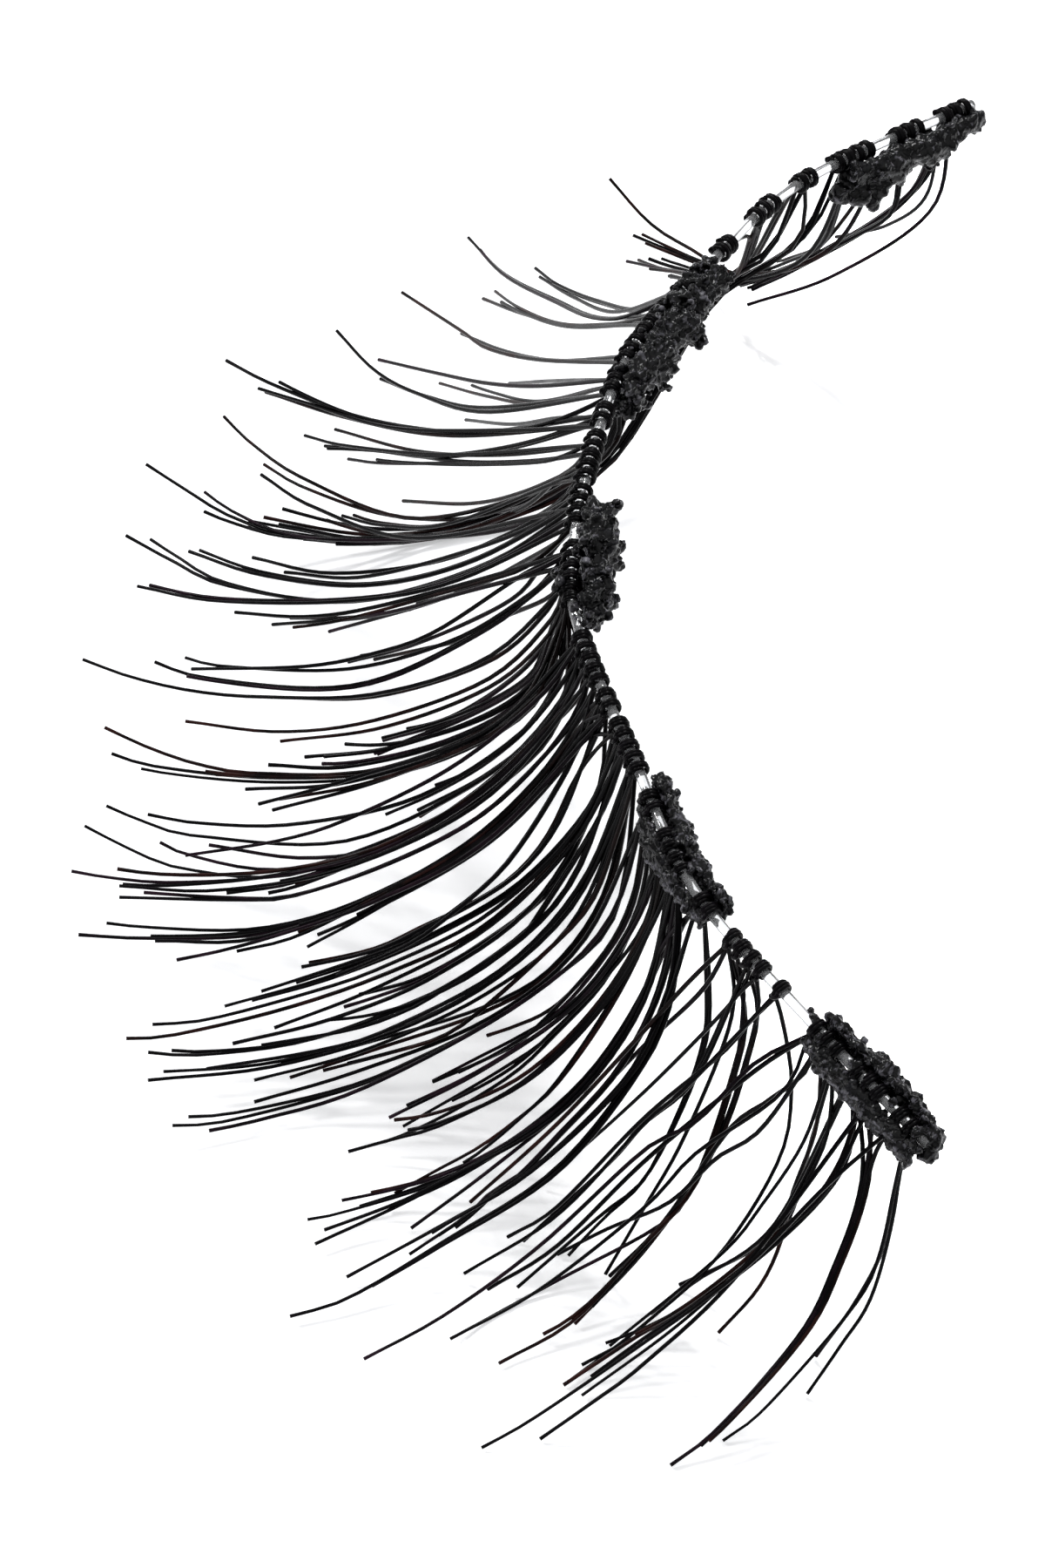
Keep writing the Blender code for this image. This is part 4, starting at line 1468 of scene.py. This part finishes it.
@dataclass
class Filament:
    """The clear nylon line that the hairs are hitched on."""

    band: Band
    material: bpy.types.Material
    diameter: float = 0.20 * MM
    points: int = 160
    bevel: int = 5
    sharp: float = 50.0

    def make(self) -> bpy.types.Object:
        """Sweeps the line along the band.

        Returns:
            The finished object.
        """
        curve = poly_curve("nylon_line", 0.5 * self.diameter, self.bevel)
        curve.materials.append(self.material)
        spline = curve.splines.new("POLY")
        spline.points.add(self.points - 1)
        spline.use_smooth = True
        for i, spot in enumerate(spline.points):
            spot.co = (*self.band.point(i / (self.points - 1)), 1.0)
        made = swept(curve)
        close_ends(self.sharp)
        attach(made, ROOT)
        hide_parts("band_filament")
        log.info("%s: %d faces", made.name, len(made.data.polygons))
        return made


@dataclass(frozen=True)
class Dab:
    """A dab of glue beside the band, with its reach from the centre line and its size in millimetres.

    Its place is a share of the band's length, and its side is in degrees from the eyelid, over the top.
    """

    place: float
    side: float
    reach: float
    size: float


@dataclass(frozen=True)
class CrustForm:
    """How one lump of dried glue is shaped, with its sizes in millimetres.

    Draw is the share of its packed reach from the band that it keeps, in (place along the band, share)
    steps. The skirt is the glue that ran down over the hairs' roots, in (place along the band, width) steps.
    """

    number: int
    draw: Steps
    swell: float
    knobs: float
    knob_size: float
    grit: float
    crumbs: int
    curls: int
    dabs: tuple[Dab, ...] = ()
    skirt: Steps = ()


@dataclass
class Crusts:
    """The lumps of dried glue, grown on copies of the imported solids."""

    band: Band
    material: bpy.types.Material
    forms: tuple[CrustForm, ...] = (
        CrustForm(
            1, ((0.0, 0.84), (0.02, 0.92), (0.09, 0.92)), 0.10, 0.16, 0.20, 0.05, 40, 9,
            (
                Dab(0.094, 60.0, 0.10, 0.10), Dab(0.101, 40.0, 0.12, 0.06), Dab(0.0, -70.0, 0.30, 0.24),
                Dab(0.0, -10.0, 0.16, 0.22), Dab(0.085, 170.0, 0.14, 0.12), Dab(0.060, 90.0, 0.12, 0.10),
                Dab(0.030, 95.0, 0.12, 0.10), Dab(0.008, 95.0, 0.12, 0.12),
            ),
            ((0.0, 0.50), (0.02, 0.42), (0.045, 0.44), (0.075, 0.46), (0.092, 0.22)),
        ),
        CrustForm(
            2, ((0.18, 0.70), (0.20, 0.80), (0.24, 0.80), (0.28, 0.86)), 0.10, 0.16, 0.18, 0.05, 50, 10,
            (
                Dab(0.268, 10.0, 0.26, 0.12), Dab(0.240, 60.0, 0.13, 0.10), Dab(0.232, 55.0, 0.13, 0.10),
                Dab(0.222, 60.0, 0.13, 0.10), Dab(0.212, 55.0, 0.13, 0.10), Dab(0.200, 210.0, 0.22, 0.13),
                Dab(0.196, 200.0, 0.30, 0.12), Dab(0.206, 205.0, 0.22, 0.13),
            ),
            ((0.182, 0.20), (0.20, 0.26), (0.225, 0.40), (0.245, 0.46), (0.262, 0.28), (0.274, 0.10)),
        ),
        CrustForm(
            3,
            (
                (0.402, 0.45), (0.415, 0.68), (0.430, 0.94), (0.445, 0.96), (0.453, 0.74), (0.459, 0.98),
                (0.470, 0.76), (0.478, 1.12), (0.490, 1.02), (0.502, 0.90),
            ),
            0.20, 0.26, 0.24, 0.06, 30, 26,
            (Dab(0.440, 175.0, 0.20, 0.12), Dab(0.450, 185.0, 0.24, 0.09), Dab(0.492, 10.0, 0.42, 0.14)),
        ),
        CrustForm(
            4, ((0.60, 0.94), (0.74, 0.94)), 0.12, 0.18, 0.16, 0.06, 90, 16,
            (
                Dab(0.742, 60.0, 0.12, 0.17), Dab(0.732, 110.0, 0.14, 0.15), Dab(0.722, 75.0, 0.12, 0.16),
                Dab(0.712, 120.0, 0.12, 0.13), Dab(0.700, 70.0, 0.12, 0.13), Dab(0.684, 80.0, 0.12, 0.11),
                Dab(0.664, 75.0, 0.12, 0.11), Dab(0.645, 80.0, 0.12, 0.10), Dab(0.624, 75.0, 0.12, 0.10),
            ),
        ),
        CrustForm(
            5, ((0.88, 0.90), (0.93, 0.84), (1.0, 0.74)), 0.08, 0.12, 0.22, 0.05, 36, 6,
            (
                Dab(0.880, -65.0, 0.58, 0.22), Dab(0.894, -62.0, 0.70, 0.28), Dab(0.910, -60.0, 0.72, 0.30),
                Dab(0.925, -55.0, 0.58, 0.26), Dab(0.904, -60.0, 1.00, 0.18), Dab(0.888, -60.0, 0.34, 0.20),
                Dab(0.960, -50.0, 0.52, 0.22), Dab(0.942, -55.0, 0.50, 0.22), Dab(0.908, -58.0, 0.40, 0.22),
                Dab(0.995, -30.0, 0.14, 0.16), Dab(0.982, -25.0, 0.16, 0.14), Dab(0.946, -30.0, 0.16, 0.13),
            ),
        ),
    )
    voxel: float = 0.034
    weld: float = 0.002
    swell_size: float = 0.50
    grit_size: float = 0.07
    dab_cuts: int = 2
    crumb_cuts: int = 1
    crumb_sizes: Range = (0.040, 0.120)
    crumb_width: Range = (0.6, 1.0)
    crumb_height: Range = (0.8, 1.7)
    curl_radius: Range = (0.09, 0.22)
    curl_girth: Range = (0.030, 0.055)
    curl_segments: tuple[int, int] = (14, 6)
    skirt_start: float = 0.13
    skirt_thickness: float = 0.11
    skirt_sides: Range = (-175.0, -118.0)
    skirt_steps: int = 24
    skirt_rows: int = 6

    def make(self) -> list[bpy.types.Object]:
        """Makes each crust.

        Returns:
            The pieces.
        """
        return [self._crust(form) for form in self.forms]

    def _crust(self, form: CrustForm) -> bpy.types.Object:
        """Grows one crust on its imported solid.

        It is worked on in millimetres, because a remesh takes no voxel under a tenth of a millimetre.

        Args:
            form: How it is shaped.

        Returns:
            The finished piece.
        """
        node = bpy.data.objects[f"glue_crust_{form.number}"]
        draw = random.Random(SEED * CRUST_SEEDS + form.number)
        piece = bpy.data.objects.new(f"dried_glue_{form.number}", node.data.copy())
        bpy.context.scene.collection.objects.link(piece)
        piece.data.transform(Matrix.Scale(1.0 / MM, 4))
        select_only(piece)
        bpy.ops.object.mode_set(mode="EDIT")
        bpy.ops.mesh.select_all(action="SELECT")
        bpy.ops.mesh.remove_doubles(threshold=self.weld)
        bpy.ops.object.mode_set(mode="OBJECT")
        self._draw_in(piece, form.draw)
        spots = self._spots(piece, form.crumbs + form.curls, draw)
        extras = self._crumbs(spots[: form.crumbs], draw) + self._curls(spots[form.crumbs:], draw)
        extras += self._dabs(form.dabs)
        if form.skirt:
            extras.append(self._skirt(form))
        select_only(piece)
        for extra in extras:
            extra.select_set(True)
        bpy.ops.object.join()
        self._modify(piece, "REMESH", mode="VOXEL", voxel_size=self.voxel)
        self._displace(piece, "CLOUDS", form.swell, self.swell_size)
        self._displace(piece, "VORONOI", -form.knobs, form.knob_size)
        self._displace(piece, "CLOUDS", form.grit, self.grit_size)
        piece.data.transform(Matrix.Scale(MM, 4))
        piece.data.materials.clear()
        piece.data.materials.append(self.material)
        select_only(piece)
        bpy.ops.object.shade_smooth()
        deselect()
        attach(piece, ROOT)
        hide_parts(node.name)
        log.info("%s: %d faces", piece.name, len(piece.data.polygons))
        return piece

    def _draw_in(self, piece: bpy.types.Object, steps: Steps) -> None:
        """Draws a crust in towards the band.

        Args:
            piece: The crust, in millimetres.
            steps: The share of its reach from the band's centre line that it keeps, by place along the band.
        """
        line = [point / MM for point in self.band.path]
        for vertex in piece.data.vertices:
            nearest = min(range(len(line)), key=lambda i: (line[i] - vertex.co).length_squared)
            kept = ramp(steps, self.band.reach[nearest] / self.band.length)
            vertex.co = line[nearest].lerp(vertex.co, kept)

    def _dabs(self, dabs: Sequence[Dab]) -> list[bpy.types.Object]:
        """Round dabs of glue beside the band.

        Args:
            dabs: Where they sit and how big they are.

        Returns:
            The dabs.
        """
        made = []
        for dab in dabs:
            axes = self.band.axes(dab.place)
            angle = math.radians(dab.side)
            side = axes.lid * math.cos(angle) + axes.up * math.sin(angle)
            deselect()
            bpy.ops.mesh.primitive_ico_sphere_add(
                subdivisions=self.dab_cuts,
                radius=dab.size,
                location=self.band.point(dab.place) / MM + side * dab.reach,
            )
            made.append(bpy.context.active_object)
        return made

    @staticmethod
    def _spots(piece: bpy.types.Object, count: int, draw: random.Random) -> list[Vector]:
        """Random points on a piece's skin.

        Args:
            piece: The piece.
            count: How many points are wanted.
            draw: The source of chance.

        Returns:
            The points.
        """
        faces = list(piece.data.polygons)
        chosen = draw.choices(faces, [face.area for face in faces], k=count)
        spots = []
        for face in chosen:
            corners = [piece.data.vertices[i].co for i in face.vertices]
            shares = [draw.random() for _ in corners]
            spots.append(sum((c * s for c, s in zip(corners, shares)), Vector()) / sum(shares))
        return spots

    def _crumbs(self, spots: Sequence[Vector], draw: random.Random) -> list[bpy.types.Object]:
        """Small crumbs of glue, one at each spot.

        Args:
            spots: Where they sit, in millimetres.
            draw: The source of chance.

        Returns:
            The crumbs.
        """
        deselect()
        bpy.ops.mesh.primitive_ico_sphere_add(subdivisions=self.crumb_cuts, radius=1.0)
        model = bpy.context.active_object
        crumbs = []
        for spot in spots:
            size = draw.uniform(*self.crumb_sizes)
            crumb = bpy.data.objects.new("glue_crumb", model.data.copy())
            bpy.context.scene.collection.objects.link(crumb)
            crumb.location = spot
            crumb.rotation_euler = [draw.uniform(0.0, math.pi) for _ in range(3)]
            width = size * draw.uniform(*self.crumb_width)
            crumb.scale = (size, width, size * draw.uniform(*self.crumb_height))
            crumbs.append(crumb)
        bpy.data.objects.remove(model)
        return crumbs

    def _curls(self, spots: Sequence[Vector], draw: random.Random) -> list[bpy.types.Object]:
        """Curled threads of glue, half sunk in the skin.

        Args:
            spots: Where they sit, in millimetres.
            draw: The source of chance.

        Returns:
            The curls.
        """
        curls = []
        for spot in spots:
            deselect()
            bpy.ops.mesh.primitive_torus_add(
                location=spot,
                rotation=[draw.uniform(0.0, math.pi) for _ in range(3)],
                major_segments=self.curl_segments[0],
                minor_segments=self.curl_segments[1],
                major_radius=draw.uniform(*self.curl_radius),
                minor_radius=draw.uniform(*self.curl_girth),
            )
            curls.append(bpy.context.active_object)
        return curls

    def _skirt(self, form: CrustForm) -> bpy.types.Object:
        """The glue that ran down over the hairs' roots, as a skin of even thickness.

        Args:
            form: The crust, with the skirt's widths.

        Returns:
            The skirt, in millimetres.
        """
        deselect()
        bpy.ops.mesh.primitive_grid_add(
            x_subdivisions=self.skirt_steps,
            y_subdivisions=self.skirt_rows,
            size=2.0,
        )
        skirt = bpy.context.active_object
        first, last = form.skirt[0][0], form.skirt[-1][0]
        for vertex in skirt.data.vertices:
            share = mix(first, last, 0.5 + 0.5 * vertex.co.x)
            down = 0.5 + 0.5 * vertex.co.y
            axes = self.band.axes(share)
            reach = self.skirt_start + down * ramp(form.skirt, share)
            angle = math.radians(mix(*self.skirt_sides, down))
            side = axes.lid * math.cos(angle) + axes.up * math.sin(angle)
            vertex.co = self.band.point(share) / MM + side * reach
        self._modify(skirt, "SOLIDIFY", thickness=self.skirt_thickness, offset=0.0)
        return skirt

    @staticmethod
    def _modify(piece: bpy.types.Object, kind: str, **values: object) -> None:
        """Adds one modifier and applies it.

        Args:
            piece: The object.
            kind: The modifier's type.
            **values: Property name to value.
        """
        select_only(piece)
        modifier = piece.modifiers.new(kind.lower(), kind)
        for label, value in values.items():
            setattr(modifier, label, value)
        bpy.ops.object.modifier_apply(modifier=modifier.name)

    def _displace(self, piece: bpy.types.Object, kind: str, depth: float, size: float) -> None:
        """Pushes a crust's skin in and out by a procedural texture.

        Args:
            piece: The crust, in millimetres.
            kind: The texture's type.
            depth: How far it reaches.
            size: The size of its features.
        """
        texture = bpy.data.textures.new(f"{piece.name}_{kind.lower()}", kind)
        texture.noise_scale = size
        self._modify(piece, "DISPLACE", texture=texture, strength=depth, mid_level=0.5)


@dataclass(frozen=True)
class Softbox:
    """A square soft light: where it hangs, the side of its square and its power in watts."""

    name: str
    spot: tuple[float, float, float]
    size: float
    power: float

    def hang(self, aim: Vector) -> None:
        """Adds the light to the scene.

        Args:
            aim: What it points at.
        """
        data = bpy.data.lights.new(self.name, "AREA")
        data.size = self.size
        data.energy = self.power
        lamp = bpy.data.objects.new(self.name, data)
        bpy.context.scene.collection.objects.link(lamp)
        lamp.location = self.spot
        lamp.rotation_euler = (aim - Vector(self.spot)).to_track_quat("-Z", "Y").to_euler()


@dataclass
class Studio:
    """The white sheet, the white room and the soft lights."""

    patterns: Patterns
    sheet_size: float = 1.6
    room: Colour = (0.985, 0.99, 1.0)
    horizon: float = 0.06
    zenith: float = 1.0
    aim: tuple[float, float, float] = (0.0, 0.0, 0.005)
    softboxes: tuple[Softbox, ...] = (
        Softbox("back_softbox", (0.04, 0.30, 0.29), 0.05, 0.8),
        Softbox("side_softbox", (-0.26, 0.12, 0.24), 0.04, 0.45),
    )

    def make(self) -> None:
        """Builds the sheet, the room and the lights."""
        bpy.context.scene.view_settings.view_transform = "Standard"
        self._sheet()
        self._room()
        for softbox in self.softboxes:
            softbox.hang(Vector(self.aim))

    def _sheet(self) -> None:
        """Lays the sheet, which is the stage."""
        deselect()
        bpy.ops.mesh.primitive_plane_add(size=self.sheet_size, location=(0.0, 0.0, 0.0))
        sheet = bpy.context.active_object
        sheet.name = "white_sheet"
        sheet.data.materials.append(SurfaceFinish("glossy_white_sheet").make(self.patterns))
        deselect()

    def _room(self) -> None:
        """Builds the room's light, which grows from the horizon to the zenith."""
        world = bpy.data.worlds.new("white_room")
        world.use_nodes = True
        nodes, links = world.node_tree.nodes, world.node_tree.links
        back = nodes["Background"]
        back.inputs["Color"].default_value = rgba(self.room)
        place = nodes.new("ShaderNodeTexCoord")
        parts = nodes.new("ShaderNodeSeparateXYZ")
        rise = nodes.new("ShaderNodeMapRange")
        rise.inputs["To Min"].default_value = self.horizon
        rise.inputs["To Max"].default_value = self.zenith
        links.new(place.outputs["Generated"], parts.inputs["Vector"])
        links.new(parts.outputs["Z"], rise.inputs["Value"])
        links.new(rise.outputs["Result"], back.inputs["Strength"])
        bpy.context.scene.world = world


def photo_camera() -> PhotoCamera:
    """The photograph's camera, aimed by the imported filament's box.

    Returns:
        The camera.
    """
    low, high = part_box("band_filament")
    aim = Vector((low.x + CAMERA_AIM[0], low.y + CAMERA_AIM[1], high.z + CAMERA_AIM[2]))
    return PhotoCamera(aim)


def main() -> None:
    """Loads the frame and builds the strip round it."""
    logging.basicConfig(level=logging.INFO, format="%(name)s: %(message)s")
    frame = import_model()
    log.info("%d packed nodes", len(frame["nodes"]))
    camera = photo_camera()
    camera.stand()
    patterns = Patterns()
    band = Band()
    Studio(patterns).make()
    hair = {tone: tone.value.make(patterns) for tone in HairTone}
    Filament(band, NylonFinish("clear_nylon").make(patterns)).make()
    Lashes(band, camera, hair).make()
    Crusts(band, GlueFinish("dried_lash_glue").make(patterns)).make()


if __name__ == "__main__":
    main()
